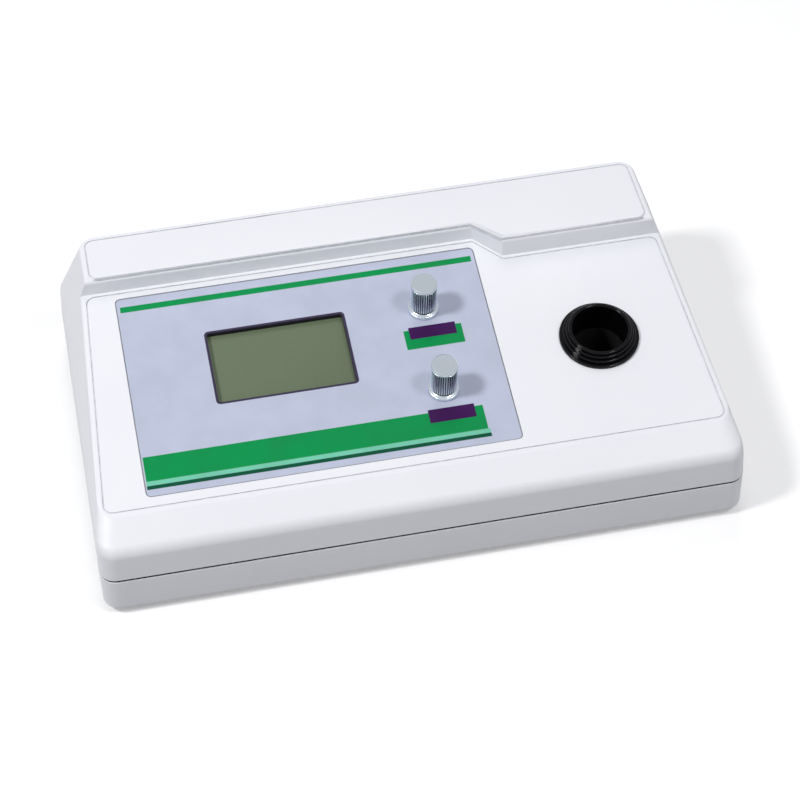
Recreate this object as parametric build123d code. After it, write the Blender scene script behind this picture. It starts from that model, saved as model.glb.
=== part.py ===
from build123d import *
from math import cos, radians, sin, tan
import os

# Turbidity meter: a low bench instrument in a two-part plastic casing.
# Millimetres. X runs to the right, Y to the back, Z up.
# The origin is on the table, under the middle of the casing.

# Casing
casing_width = 340.0
casing_depth = 210.0
casing_height = 82.5
foot_height = 3.0
parting_height = 23.0
parting_gap = 0.8
shoulder_height = 42.6
shoulder_inset = 1.0
hip_angle = 19.6
corner_radius = 9.0
wall = 2.8
base_floor = 2.5
base_edge_radius = 3.0
shoulder_soft_below = 4.0
shoulder_soft_above = 2.0
top_edge_radius = 2.0
panel_edge_radius = 2.0
tongue_thickness = 1.2
post_embed = 0.5
tongue_height = 4.0
fit_gap = 0.25

# Sloping panel and the raised platform behind it
panel_tilt = 9.0
panel_front_inset = 18.4
panel_front_height = 51.0
riser_left = 159.3
riser_right = 144.8
jog_left_x = 56.8
jog_right_x = 70.9
groove_inset = 2.6
groove_riser_inset = 1.7
groove_width = 0.8
groove_depth = 0.6
groove_corner_radius = 5.0
groove_jog_radius = 2.0

# Front label plate
label_width = 196.3
label_length = 127.8
label_x = -42.3
label_v = 73.0
label_thickness = 1.0
label_recess = 1.2
label_corner_radius = 3.0
label_gap = 0.15

# Display
window_width = 73.2
window_length = 45.1
window_x = -58.9
window_v = 83.1
window_corner_radius = 1.5
gasket_wall = 1.6
bezel_front = 0.6
bezel_side = 1.0
bezel_height = 5.0
glass_margin = 2.2
glass_thickness = 2.4
display_board_width = 93.0
display_board_length = 70.0
board_thickness = 1.6
display_hole_inset = 3.0
display_boss_radius = 3.2

# Knobs and their potentiometers
knob_x = 21.4
zero_knob_v = 101.1
correction_knob_v = 47.3
knob_radius = 7.1
knob_top = 21.75
knob_flutes = 36
flute_depth = 0.35
flute_start = 3.6
flute_stop = 19.6
skirt_radius = 8.35
skirt_height = 1.8
knob_lift = 0.4
knob_nut_room_radius = 5.85
knob_nut_room_height = 3.3
skirt_bevel_share = 0.4
knob_chamfer = 0.8
shaft_radius = 3.0
shaft_reach = 17.0
shaft_fit = 0.04
bushing_radius = 3.5
bushing_reach = 3.0
bushing_gap = 0.25
washer_radius = 4.9
washer_thickness = 0.5
nut_flats = 9.0
nut_thickness = 1.8
pot_radius = 8.5
pot_depth = 9.0
pot_lug_width = 2.0
pot_lug_length = 6.0
pot_lug_start = 2.5
pot_lug_thickness = 0.8
pot_lug_pitch = 5.0
wiper_radius = 6.5
wiper_thickness = 1.2
wiper_lift = 1.5
wiper_gap = 0.2
wiper_room_height = 2.4
set_screw_radius = 1.45
set_screw_height = 9.0
set_screw_slot = 0.6
set_screw_slot_depth = 0.8
thread_gap = 0.05

# Main board's parts; places from the board's middle
chip_sizes_and_places = (
    (14.0, 14.0, 1.8, -20.0, 5.0),
    (11.0, 18.0, 3.2, 20.0, 10.0),
    (10.0, 8.0, 3.2, 22.0, -25.0),
    (10.0, 8.0, 3.2, 42.0, -25.0),
)
capacitor_radius = 5.0
capacitor_height = 14.0
capacitor_edge = 0.8
capacitor_xs = (40.0, 53.0)
capacitor_y = 34.0
plug_length = 16.0
plug_width = 6.0
plug_corner = 0.5
side_plug_length = 26.0
side_plug_x = 60.0
front_plug_y = 38.0
zero_plug_x = 45.0
correction_plug_x = 20.0
ribbon_plug_y = 36.0
ribbon_gap = 1.0
power_plug_x = 10.0
power_plug_y = 36.0
sink_width = 22.0
sink_thickness = 3.0
sink_height = 20.0
fin_thickness = 1.4
fin_depth = 8.0
fin_pitch = 4.5
regulator_width = 10.0
regulator_thickness = 4.5
regulator_height = 14.0
regulator_lift = 3.0
regulator_leads_width = 8.0
regulator_lead = 0.8
regulator_x = -40.0
regulator_y = 30.0
bracket_share = 0.7

# Sample well
well_x = 109.6
well_v = 65.2
bore_radius = 14.75
collar_steps = ((21.35, 1.8), (19.5, 3.8), (18.0, 5.7), (16.7, 7.5))
collar_step_edge = 0.6
collar_inner_edge = 0.7
sleeve_radius = 17.8
sleeve_gap = 0.3
collar_depth = 12.0
ring_nut_radius = 22.0
ring_nut_thickness = 4.0
holder_side = 44.0
holder_flange_side = 62.0
holder_flange = 4.0
holder_corner = 2.0
holder_depth = 50.0
holder_floor = 4.0
holder_screw_pitch = 52.0
beam_depth = 34.0
port_radius = 2.8

# Optics around the well
lamp_tube_radius = 9.0
lamp_bore_radius = 6.5
lamp_tube_length = 24.0
lens_thickness = 3.0
lens_curve = 12.0
lens_ring_wall = 1.6
lens_ring_thickness = 2.0
lens_gap = 0.05
lamp_rim = 0.5
lamp_radius = 2.5
lamp_length = 8.0
lamp_base_thickness = 3.0
detector_side = 20.0
detector_length = 12.0
photodiode_radius = 4.1
photodiode_length = 4.0
detector_board_width = 22.0
detector_board_height = 26.0
trap_radius = 8.0
trap_length = 9.0
optics_flange_width = 34.0
optics_flange_height = 12.0
optics_flange_corner = 1.5
optics_flange = 2.5
optics_screw_pitch = 26.4

# Fasteners
screw_radius = 1.45
screw_hole_radius = 1.7
pilot_radius = 1.5
screw_head_radius = 2.8
screw_head_height = 1.8
slot_width = 0.8
slot_depth = 0.9
post_radius = 4.5
post_inset_x = 22.0
post_inset_y = 19.0
post_split = 34.0
counterbore_radius = 3.2
counterbore_depth = 14.0
case_screw_length = 24.0
short_screw_length = 7.0

# Feet
foot_radius = 8.0
foot_inset_x = 46.0
foot_inset_y = 22.0
foot_recess = 1.0
foot_stem_radius = 2.4
foot_barb_radius = 3.4
foot_barb_height = 2.0

# Rear bay with its panel
bay_x = -70.0
bay_width = 130.0
bay_bottom = 32.0
bay_height = 40.0
rear_panel_back = 195.5
rear_panel_thickness = 2.0
bay_wall = 2.5
bay_rim = 5.0
panel_gap = 0.2
rear_screw_inset_x = 5.5
rear_screw_inset_z = 5.5

# Power inlet with a fuse drawer
inlet_x = -92.0
inlet_flange_width = 50.0
inlet_flange_height = 33.0
inlet_flange = 2.5
inlet_width = 28.0
inlet_height = 30.0
inlet_depth = 24.0
inlet_screw_pitch = 40.0
socket_width = 24.2
socket_height = 16.4
socket_depth = 16.5
socket_rise = 5.6
socket_chamfer = 5.0
pin_width = 2.0
pin_height = 4.0
pin_pitch = 14.0
pin_offset = 4.0
pin_recess = 3.0
pin_tab = 9.0
drawer_width = 20.0
drawer_height = 7.0
drawer_drop = 9.6
drawer_depth = 20.0
drawer_face = 1.8
drawer_lip = 1.0
drawer_gap = 0.2
drawer_floor = 1.0
drawer_end = 1.0
fuse_radius = 2.5
fuse_length = 17.0
fuse_cap_length = 4.5

# Power switch
switch_x = -38.0
switch_bezel_width = 15.0
switch_bezel_height = 21.0
switch_bezel = 1.8
switch_body_width = 12.8
switch_body_height = 18.8
switch_body_depth = 14.0
switch_wall = 1.1
rocker_gap = 0.2
rocker_tilt = 11.0
rocker_dip = 0.6
rocker_back = 4.0
rocker_pivot_radius = 1.2
rocker_pivot_length = 0.8
terminal_width = 4.8
terminal_thickness = 0.8
terminal_length = 8.0
terminal_step = 6.0

# Electronics on the base
main_board_width = 140.0
main_board_depth = 96.0
main_board_x = -40.0
main_board_y = -28.0
board_lift = 8.0
board_hole_inset = 4.0
board_post_radius = 3.5
transformer_x = 62.0
transformer_y = 58.0
core_width = 54.0
core_height = 45.0
core_thickness = 20.0
coil_width = 40.0
coil_height = 28.0
coil_overhang = 7.0
bracket_thickness = 1.2
bracket_ear = 11.0
transformer_lift = 6.0

# Wiring
wire_radius = 0.7
wire_drop = 8.0
ribbon_width = 40.0
ribbon_thickness = 0.8
plug_height = 9.0

# Derived places
half_width = casing_width / 2
front_y = -casing_depth / 2
rear_y = casing_depth / 2
base_z = foot_height
parting_z = base_z + parting_height
cover_z = parting_z + parting_gap
shoulder_z = base_z + shoulder_height
top_z = base_z + casing_height
floor_z = base_z + base_floor
panel_y = front_y + panel_front_inset
panel_z = base_z + panel_front_height
hip_run = tan(radians(hip_angle))
bevel_rise = (panel_z - shoulder_z) / (panel_front_inset - shoulder_inset)
roof = -wall
FAR = 400.0

panel_plane = Plane(
    origin=(0, panel_y, panel_z),
    x_dir=(1, 0, 0),
    z_dir=(0, -sin(radians(panel_tilt)), cos(radians(panel_tilt))),
)
bottom_up = (Align.CENTER, Align.CENTER, Align.MIN)
top_down = (Align.CENTER, Align.CENTER, Align.MAX)


def on_panel(shape, x, v, height=0.0):
    """Set a shape on the sloping panel: v runs up the slope, height stands off its surface."""
    return panel_plane * Pos(x, v, height) * shape


def block(width, depth, height, radius=0.0, align=bottom_up):
    """A box whose upright edges are rounded."""
    outline = RectangleRounded(width, depth, radius) if radius else Rectangle(width, depth)
    low = {Align.MIN: 0.0, Align.MAX: -height, Align.CENTER: -height / 2}[align[2]]
    return Pos(0, 0, low) * extrude(outline, height)


def rod(radius, length, align=bottom_up):
    return Cylinder(radius, length, align=align)


def tube(outer, inner, length, align=bottom_up):
    return rod(outer, length, align) - rod(inner, length, align)


def group(solids):
    return Compound(children=list(solids))


def screw(length, radius=screw_radius, head=screw_head_radius, head_height=screw_head_height):
    """A pan head screw: the head's underside is at zero, the shank runs down."""
    body = rod(head, head_height) + rod(radius, length, top_down)
    rim = body.edges().filter_by(GeomType.CIRCLE).sort_by(Axis.Z)[-1]
    body = fillet(rim, head_height * 0.4)
    slot = Pos(0, 0, head_height) * block(head * 1.5, slot_width, slot_depth, align=top_down)
    cross = Pos(0, 0, head_height) * block(slot_width, head * 1.5, slot_depth, align=top_down)
    return body - slot - cross


def section_at(height, side_inset, front_inset, rear_inset, radius):
    """A rounded rectangle of the casing at one height."""
    width = casing_width - 2 * side_inset
    depth = casing_depth - front_inset - rear_inset
    middle = (front_inset - rear_inset) / 2
    return Pos(0, middle, height) * RectangleRounded(width, depth, radius)


def cover_block(inset, low_z):
    """The cover's outer form without its step, shrunk by inset for the hollow inside."""
    bevel_cos = 1 / (1 + bevel_rise**2) ** 0.5
    bevel_sin = bevel_rise * bevel_cos
    radius = max(corner_radius - inset, 1.0)
    turn_z = shoulder_z - inset * (1 - bevel_cos) / bevel_sin
    turn_inset = inset + shoulder_inset
    draft = shoulder_inset / (shoulder_z - cover_z)
    below = turn_inset - shoulder_soft_below * draft
    stages = [section_at(low_z, inset, inset, inset, radius)]
    stages.append(section_at(turn_z - shoulder_soft_below, below, below, below, radius))
    for height in (turn_z + shoulder_soft_above, top_z - inset):
        side = turn_inset + (height - turn_z) * hip_run
        front = turn_inset + (height - turn_z) / bevel_rise
        stages.append(section_at(height, side, front, side, radius))
    form = Part()
    for lower, upper in zip(stages, stages[1:]):
        form += loft([lower, upper], ruled=True)
    return form


def step_cut(inset):
    """What is cut away above the sloping panel, in front of the platform."""
    left = front_y + riser_left + inset
    right = front_y + riser_right + inset
    shift = inset * tan(radians(22.5))
    plan = Polygon(
        (-FAR, -FAR),
        (FAR, -FAR),
        (FAR, right),
        (jog_right_x + shift, right),
        (jog_left_x + shift, left),
        (-FAR, left),
        align=None,
    )
    above = on_panel(block(2 * FAR, 2 * FAR, FAR), 0, 0, -inset)
    return extrude(plan, FAR) & above


def cover_form(inset, low_z):
    return cover_block(inset, low_z) - step_cut(inset)


def edge_inset(height):
    """How far the hip has leaned in from the casing's side at a height above the table."""
    return shoulder_inset + (height - shoulder_z) * hip_run


def panel_outline():
    """The line cut in the sloping panel, a little inside its edges."""
    front_v = groove_inset / cos(radians(panel_tilt))
    left_v = (riser_left - panel_front_inset - groove_riser_inset) / cos(radians(panel_tilt))
    right_v = (riser_right - panel_front_inset - groove_riser_inset) / cos(radians(panel_tilt))

    def half(v):
        return half_width - edge_inset(panel_z + v * sin(radians(panel_tilt))) - groove_inset

    outline = Polygon(
        (-half(front_v), front_v),
        (half(front_v), front_v),
        (half(right_v), right_v),
        (jog_right_x, right_v),
        (jog_left_x, left_v),
        (-half(left_v), left_v),
        align=None,
    )
    return rounded_outline(outline)


def platform_outline():
    """The line cut in the platform's top, a little inside its edges."""
    half = half_width - edge_inset(top_z) - groove_inset
    back = rear_y - edge_inset(top_z) - groove_inset
    left = front_y + riser_left + groove_riser_inset
    right = front_y + riser_right + groove_riser_inset
    outline = Polygon(
        (-half, left),
        (jog_left_x, left),
        (jog_right_x, right),
        (half, right),
        (half, back),
        (-half, back),
        align=None,
    )
    return rounded_outline(outline)


def rounded_outline(outline):
    """Round the outer corners of an outline wide, and the two of its jog narrow."""
    corners = outline.vertices()
    jog = [v for v in corners if jog_left_x - 1 < v.X < jog_right_x + 1]
    outer = [v for v in corners if v not in jog]
    outline = fillet(outer, groove_corner_radius)
    jog = [v for v in outline.vertices() if jog_left_x - 0.1 < v.X < jog_right_x + 0.1]
    return fillet(jog, groove_jog_radius)


def groove(outline):
    ring = outline - offset(outline, amount=-groove_width)
    return extrude(ring, -groove_depth)


def corner_places(inset_x, inset_y):
    x = half_width - inset_x
    y = casing_depth / 2 - inset_y
    return [(sx * x, sy * y) for sx in (-1, 1) for sy in (-1, 1)]


def rectangle_places(pitch_x, pitch_y):
    return [(sx * pitch_x / 2, sy * pitch_y / 2) for sx in (-1, 1) for sy in (-1, 1)]


def main_board_places():
    pitch_x = main_board_width - 2 * board_hole_inset
    pitch_y = main_board_depth - 2 * board_hole_inset
    places = rectangle_places(pitch_x, pitch_y)
    return [(main_board_x + x, main_board_y + y) for x, y in places]


def display_places():
    pitch_x = display_board_width - 2 * display_hole_inset
    pitch_v = display_board_length - 2 * display_hole_inset
    places = rectangle_places(pitch_x, pitch_v)
    return [(window_x + x, window_v + v) for x, v in places]


def transformer_places():
    reach = core_width / 2 + bracket_ear / 2
    return [(transformer_x - reach, transformer_y), (transformer_x + reach, transformer_y)]


def holder_places():
    places = rectangle_places(holder_screw_pitch, holder_screw_pitch)
    return [(well_x + x, well_v + v) for x, v in places]


def rear_screw_places():
    pitch_x = bay_width - 2 * rear_screw_inset_x
    pitch_z = bay_height - 2 * rear_screw_inset_z
    middle_z = base_z + bay_bottom + bay_height / 2
    return [(bay_x + x, middle_z + z) for x, z in rectangle_places(pitch_x, pitch_z)]


def base_shell():
    """The lower tray, with screw posts, board posts, foot recesses and the tongue."""
    outside = Pos(0, 0, base_z) * block(casing_width, casing_depth, parting_height, corner_radius)
    low_edges = outside.edges().group_by(Axis.Z)[0]
    outside = fillet(low_edges, base_edge_radius)
    inner_width = casing_width - 2 * wall
    inner_depth = casing_depth - 2 * wall
    inner_radius = corner_radius - wall
    inside = Pos(0, 0, floor_z) * block(inner_width, inner_depth, FAR, inner_radius)
    reach = 2 * tongue_thickness
    tongue_radius = inner_radius + tongue_thickness
    tongue_face = RectangleRounded(inner_width + reach, inner_depth + reach, tongue_radius)
    tongue = Pos(0, 0, parting_z) * extrude(tongue_face, tongue_height)
    shell = (outside + tongue) - inside
    post_top = base_z + post_split
    for x, y in corner_places(post_inset_x, post_inset_y):
        shell += Pos(x, y, base_z + post_embed) * rod(post_radius, post_top - base_z - post_embed)
    for x, y in main_board_places():
        shell += Pos(x, y, base_z + post_embed) * rod(board_post_radius, floor_z + board_lift - base_z - post_embed)
    for x, y in transformer_places():
        post = rod(board_post_radius, floor_z + transformer_lift - base_z - post_embed)
        shell += Pos(x, y, base_z + post_embed) * post
    for x, y in corner_places(post_inset_x, post_inset_y):
        shell -= Pos(x, y, base_z) * rod(counterbore_radius, counterbore_depth)
        shell -= Pos(x, y, base_z) * rod(screw_hole_radius, FAR)
    for x, y in main_board_places():
        shell -= Pos(x, y, floor_z) * rod(pilot_radius, FAR)
    for x, y in transformer_places():
        shell -= Pos(x, y, floor_z) * rod(pilot_radius, FAR)
    for x, y in corner_places(foot_inset_x, foot_inset_y):
        shell -= Pos(x, y, base_z) * rod(foot_radius + fit_gap, foot_recess)
        shell -= Pos(x, y, base_z) * rod(foot_stem_radius + thread_gap, base_floor)
    return shell


def rounded_cover_form():
    """The cover's outside with the edges of its platform and of its panel softened."""
    form = cover_form(0.0, cover_z)
    top_edges = form.edges().group_by(Axis.Z)[-1]
    form = fillet(top_edges, top_edge_radius)
    panel_edges = []
    for edge in form.edges():
        heights = [abs(panel_plane.to_local_coords(edge @ step).Z) for step in (0, 0.5, 1)]
        if max(heights) < 0.01 and edge.center().Y < front_y + riser_right - 10:
            panel_edges.append(edge)
    return fillet(panel_edges, panel_edge_radius)


def cover_bosses():
    """Everything that hangs from the inside of the cover, before it is trimmed to it."""
    post_top = base_z + post_split
    places = corner_places(post_inset_x, post_inset_y)
    solids = [Pos(x, y, post_top) * rod(post_radius, FAR) for x, y in places]
    under_display = roof - bezel_height
    for x, v in display_places():
        solids.append(on_panel(rod(display_boss_radius, FAR), x, v, under_display))
    for x, v in holder_places():
        solids.append(on_panel(rod(display_boss_radius + 0.3, FAR), x, v, -collar_depth))
    return solids


def bay_box(margin, front):
    """The rear bay's room, grown by a margin, from its front plane out past the casing."""
    middle_z = base_z + bay_bottom + bay_height / 2
    behind = (Align.CENTER, Align.MIN, Align.CENTER)
    room = Box(bay_width + 2 * margin, FAR, bay_height + 2 * margin, align=behind)
    return Pos(bay_x, front, middle_z) * room


def top_cover():
    """The upper shell, with every opening that the label, display, knobs, well and inlet need."""
    shell = rounded_cover_form() - cover_form(wall, cover_z)
    core = cover_form(wall / 2, cover_z)
    for boss in cover_bosses():
        shell += boss & core
    plate_front = front_y + rear_panel_back - rear_panel_thickness
    shell += bay_box(bay_wall, plate_front - bay_wall) & core
    shell -= bay_box(0.0, plate_front)
    shell -= bay_box(-bay_rim, 0.0)
    for x, z in rear_screw_places():
        shell -= Pos(x, plate_front, z) * Rot(90, 0, 0) * rod(pilot_radius, 3 * bay_wall, top_down)
        shell -= Pos(x, plate_front, z) * Rot(90, 0, 0) * rod(pilot_radius, bay_wall)
    rebate_inset = wall - tongue_thickness - fit_gap
    rebate = section_at(cover_z, rebate_inset, rebate_inset, rebate_inset, corner_radius - rebate_inset)
    shell -= extrude(rebate, tongue_height - parting_gap + fit_gap)
    for x, y in corner_places(post_inset_x, post_inset_y):
        shell -= Pos(x, y, base_z + post_split) * rod(pilot_radius, case_screw_length - counterbore_depth)
    shell -= panel_plane * groove(panel_outline())
    shell -= Pos(0, 0, top_z) * groove(platform_outline())
    recess = block(label_width + 2 * label_gap, label_length + 2 * label_gap, FAR, label_corner_radius)
    shell -= on_panel(recess, label_x, label_v, -label_recess)
    opening_width = window_width + 2 * (gasket_wall + fit_gap)
    opening_length = window_length + 2 * (gasket_wall + fit_gap)
    opening = block(opening_width, opening_length, 3 * wall, window_corner_radius, top_down)
    shell -= on_panel(opening, window_x, window_v, wall)
    for v in (zero_knob_v, correction_knob_v):
        shell -= on_panel(rod(bushing_radius + bushing_gap, 3 * wall, top_down), knob_x, v, wall)
    shell -= on_panel(rod(sleeve_radius + sleeve_gap, 3 * wall, top_down), well_x, well_v, wall)
    for x, v in display_places():
        shell -= on_panel(rod(pilot_radius, bezel_height), x, v, roof - bezel_height)
    for x, v in holder_places():
        shell -= on_panel(rod(pilot_radius, short_screw_length), x, v, -collar_depth)
    return shell


def front_label():
    """A thin printed plate with the display window and two clearance holes for the knobs."""
    plate = block(label_width, label_length, label_thickness, label_corner_radius)
    window = block(window_width, window_length, 3 * wall, window_corner_radius)
    plate -= Pos(window_x - label_x, window_v - label_v, -wall) * window
    for v in (zero_knob_v, correction_knob_v):
        plate -= Pos(knob_x - label_x, v - label_v, -wall) * rod(bushing_radius + bushing_gap, 3 * wall)
    return on_panel(plate, label_x, label_v, -label_recess)


def rubber_foot():
    foot = rod(foot_radius, foot_height + foot_recess)
    foot = fillet(foot.edges().group_by(Axis.Z)[0], foot_recess * 0.8)
    stem = Pos(0, 0, foot_height) * rod(foot_stem_radius, base_floor)
    barb = Cone(foot_barb_radius, foot_stem_radius, foot_barb_height, align=bottom_up)
    return foot + stem + Pos(0, 0, foot_height + base_floor) * barb


def rubber_feet():
    return group(Pos(x, y, 0) * rubber_foot() for x, y in corner_places(foot_inset_x, foot_inset_y))


def case_screws():
    """Long screws from below, through the base posts into the cover's bosses."""
    places = corner_places(post_inset_x, post_inset_y)
    seat = base_z + counterbore_depth
    return group(Pos(x, y, seat) * Rot(180, 0, 0) * screw(case_screw_length) for x, y in places)


def display_gasket():
    """A black foam frame that closes the gap between label and display."""
    outer_width = window_width + 2 * gasket_wall
    outer_length = window_length + 2 * gasket_wall
    depth = wall - label_recess
    ring = block(outer_width, outer_length, depth, window_corner_radius)
    ring -= block(window_width, window_length, depth, window_corner_radius)
    return on_panel(ring, window_x, window_v, roof)


def display_bezel():
    """The sheet metal frame that holds the glass on its board."""
    inner_width = window_width + 2 * glass_margin
    inner_length = window_length + 2 * glass_margin
    frame = block(inner_width + 2 * bezel_side, inner_length + 2 * bezel_side, bezel_height, align=top_down)
    hollow = block(inner_width, inner_length, bezel_height - bezel_front, align=top_down)
    frame -= Pos(0, 0, -bezel_front) * hollow
    frame -= block(window_width, window_length, bezel_height, align=top_down)
    return on_panel(frame, window_x, window_v, roof)


def display_slab(thickness, height):
    width = window_width + 2 * (glass_margin - fit_gap)
    length = window_length + 2 * (glass_margin - fit_gap)
    return on_panel(block(width, length, thickness, align=top_down), window_x, window_v, height)


def display_glass():
    return display_slab(glass_thickness, roof - bezel_front)


def display_backlight():
    depth = bezel_height - bezel_front - glass_thickness
    return display_slab(depth, roof - bezel_front - glass_thickness)


def display_board():
    """The display's own circuit board with its driver chips under black domes."""
    board = block(display_board_width, display_board_length, board_thickness, align=top_down)
    pitch_x = display_board_width - 2 * display_hole_inset
    pitch_v = display_board_length - 2 * display_hole_inset
    for x, v in rectangle_places(pitch_x, pitch_v):
        board -= Pos(x, v, 0) * rod(screw_hole_radius, board_thickness, top_down)
    return on_panel(board, window_x, window_v, roof - bezel_height)


def display_chips():
    """Driver chips and the pin header on the back of the display's board."""
    under = roof - bezel_height - board_thickness
    chip = block(14, 14, 1.8, align=top_down)
    chips = [on_panel(chip, window_x + x, window_v, under) for x in (-24, 0, 24)]
    header = block(50, 2.5, 8.5, align=top_down)
    chips.append(on_panel(header, window_x, window_v - display_board_length / 2 + 3, under))
    return group(chips)


def display_screws():
    under = roof - bezel_height - board_thickness
    return group(on_panel(Rot(180, 0, 0) * screw(5.5), x, v, under) for x, v in display_places())


def knob(v):
    """A fluted metal knob with a skirt, hollow below to clear the nut."""
    steps = [radians(180 * i / knob_flutes) for i in range(2 * knob_flutes)]
    radii = [knob_radius - flute_depth * (i % 2) for i in range(2 * knob_flutes)]
    points = [(r * cos(a), r * sin(a)) for r, a in zip(radii, steps)]
    bottom = label_thickness - label_recess + knob_lift
    plain = knob_radius - flute_depth
    body = Pos(0, 0, flute_start) * extrude(Polygon(*points, align=None), flute_stop - flute_start)
    body += Pos(0, 0, bottom) * rod(plain, flute_start - bottom)
    cap = rod(knob_radius, knob_top - flute_stop)
    cap = chamfer(cap.edges().group_by(Axis.Z)[-1], knob_chamfer)
    body += Pos(0, 0, flute_stop) * cap
    skirt = rod(skirt_radius, skirt_height)
    skirt = chamfer(skirt.edges().group_by(Axis.Z)[-1], skirt_height * skirt_bevel_share)
    body += Pos(0, 0, bottom) * skirt
    body -= Pos(0, 0, bottom) * rod(knob_nut_room_radius, knob_nut_room_height)
    body -= Pos(0, 0, bottom) * rod(shaft_radius + shaft_fit, shaft_reach + shaft_fit - bottom)
    body -= Pos(0, 0, set_screw_height) * Rot(-90, 0, 0) * rod(set_screw_radius + thread_gap, FAR)
    return on_panel(body, knob_x, v)


def set_screw(v):
    """A slotted grub screw that clamps the knob on its shaft, from the upper side."""
    length = knob_radius - flute_depth - shaft_radius - 3 * shaft_fit
    body = rod(set_screw_radius, length)
    slot = block(4 * set_screw_radius, set_screw_slot, set_screw_slot_depth, align=top_down)
    body -= Pos(0, 0, length) * slot
    place = Pos(0, 0, set_screw_height) * Rot(-90, 0, 0) * Pos(0, 0, shaft_radius + shaft_fit)
    return on_panel(place * body, knob_x, v)


def pot_shaft(v):
    """The potentiometer's steel shaft, from its wiper disc up into the knob."""
    low = roof - pot_depth + wiper_lift
    shaft = Pos(0, 0, low) * rod(shaft_radius, shaft_reach - low)
    disc = Pos(0, 0, low) * rod(wiper_radius, wiper_thickness)
    return on_panel(shaft + disc, knob_x, v)


def pot_body(v):
    """The potentiometer's can, with its threaded bushing and three solder lugs."""
    can = Pos(0, 0, roof) * rod(pot_radius, pot_depth, top_down)
    bushing = Pos(0, 0, roof) * rod(bushing_radius, bushing_reach - roof)
    body = can + bushing
    low = roof - pot_depth + wiper_lift - wiper_gap
    body -= Pos(0, 0, low) * rod(wiper_radius + wiper_gap, wiper_room_height)
    body -= Pos(0, 0, low) * rod(shaft_radius + shaft_fit, FAR)
    for x in (-pot_lug_pitch, 0, pot_lug_pitch):
        length = pot_lug_start + pot_lug_length
        lug = Box(pot_lug_width, length, pot_lug_thickness, align=(Align.CENTER, Align.MAX, Align.CENTER))
        body += Pos(x, pot_lug_start - pot_radius, roof - pot_depth / 2) * lug
    return on_panel(body, knob_x, v)


def pot_washers():
    ring = tube(washer_radius, bushing_radius + thread_gap, washer_thickness)
    seat = label_thickness - label_recess
    return group(on_panel(ring, knob_x, v, seat) for v in (zero_knob_v, correction_knob_v))


def pot_nuts():
    hexagon = RegularPolygon(nut_flats / 2, 6, major_radius=False)
    body = extrude(hexagon, nut_thickness) - rod(bushing_radius + thread_gap, nut_thickness)
    seat = label_thickness - label_recess + washer_thickness
    return group(on_panel(body, knob_x, v, seat) for v in (zero_knob_v, correction_knob_v))


def in_well(shape, x=0.0, v=0.0, height=0.0):
    return on_panel(shape, well_x + x, well_v + v, height)


def well_collar():
    """The stepped black ring around the well, with a sleeve down through the cover."""
    body = Part()
    low = 0.0
    for radius, high in collar_steps:
        step = Pos(0, 0, low) * rod(radius, high - low)
        step = fillet(step.edges().group_by(Axis.Z)[-1], collar_step_edge)
        body += step
        low = high
    body += rod(sleeve_radius, collar_depth, top_down)
    body -= Pos(0, 0, -collar_depth) * rod(bore_radius, collar_depth + low)
    rim = body.edges().filter_by(GeomType.CIRCLE).group_by(Axis.Z)[-1]
    inner = [e for e in rim if e.radius < bore_radius + fit_gap]
    return in_well(fillet(inner, collar_inner_edge))


def collar_nut():
    """The ring nut that pulls the collar down on the cover, with four wrench notches."""
    ring = tube(ring_nut_radius, sleeve_radius + thread_gap, ring_nut_thickness, top_down)
    for angle in range(0, 360, 90):
        notch = Pos(ring_nut_radius, 0, 0) * block(3, 4, ring_nut_thickness, align=top_down)
        ring -= Rot(0, 0, angle) * notch
    return in_well(ring, height=roof)


def cell_holder():
    """The black block that holds the sample bottle, with three light ports at one height."""
    flange = block(holder_flange_side, holder_flange_side, holder_flange, 3.0, top_down)
    depth = holder_depth - collar_depth + holder_floor
    body = flange + block(holder_side, holder_side, depth, holder_corner, top_down)
    body -= rod(bore_radius, holder_depth - collar_depth, top_down)
    beam = Pos(0, 0, collar_depth - beam_depth)
    body -= beam * Rot(0, 90, 0) * rod(port_radius, FAR, (Align.CENTER, Align.CENTER, Align.CENTER))
    body -= beam * Rot(90, 0, 0) * rod(port_radius, FAR)
    for x, v in rectangle_places(holder_screw_pitch, holder_screw_pitch):
        body -= Pos(x, v, 0) * rod(screw_hole_radius, holder_flange, top_down)
    for x in (-1, 1):
        side = Pos(x * holder_side / 2, 0, collar_depth - beam_depth)
        for pitch in (-1, 1):
            pilot = Rot(0, 90 * x, 0) * rod(pilot_radius, 5, top_down)
            body -= side * Pos(0, pitch * optics_screw_pitch / 2, 0) * pilot
    for pitch in (-1, 1):
        pilot = Rot(90, 0, 0) * rod(pilot_radius, 5, top_down)
        body -= Pos(pitch * optics_screw_pitch / 2, -holder_side / 2, collar_depth - beam_depth) * pilot
    return in_well(body, height=-collar_depth)


def holder_screws():
    under = -collar_depth - holder_flange
    return group(on_panel(Rot(180, 0, 0) * screw(9.0), x, v, under) for x, v in holder_places())


def beam_side(shape, side):
    """Turn a shape built along Z to leave the holder: left, right or front."""
    turn = {"left": Rot(0, -90, 0), "right": Rot(0, 90, 0), "front": Rot(90, 0, 0)}[side]
    place = {"left": (-1, 0), "right": (1, 0), "front": (0, -1)}[side]
    x = place[0] * holder_side / 2
    v = place[1] * holder_side / 2
    return in_well(turn * shape, x, v, -beam_depth)


def optics_flange_plate(side):
    """The flat foot with two screw holes that each optic has; its long side is level."""
    plate = block(optics_flange_width, optics_flange_height, optics_flange, optics_flange_corner)
    if side != "front":
        plate = Rot(0, 0, 90) * plate
    return plate


def optics_hole_places(side):
    half = optics_screw_pitch / 2
    return [(-half, 0), (half, 0)] if side == "front" else [(0, -half), (0, half)]


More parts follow.
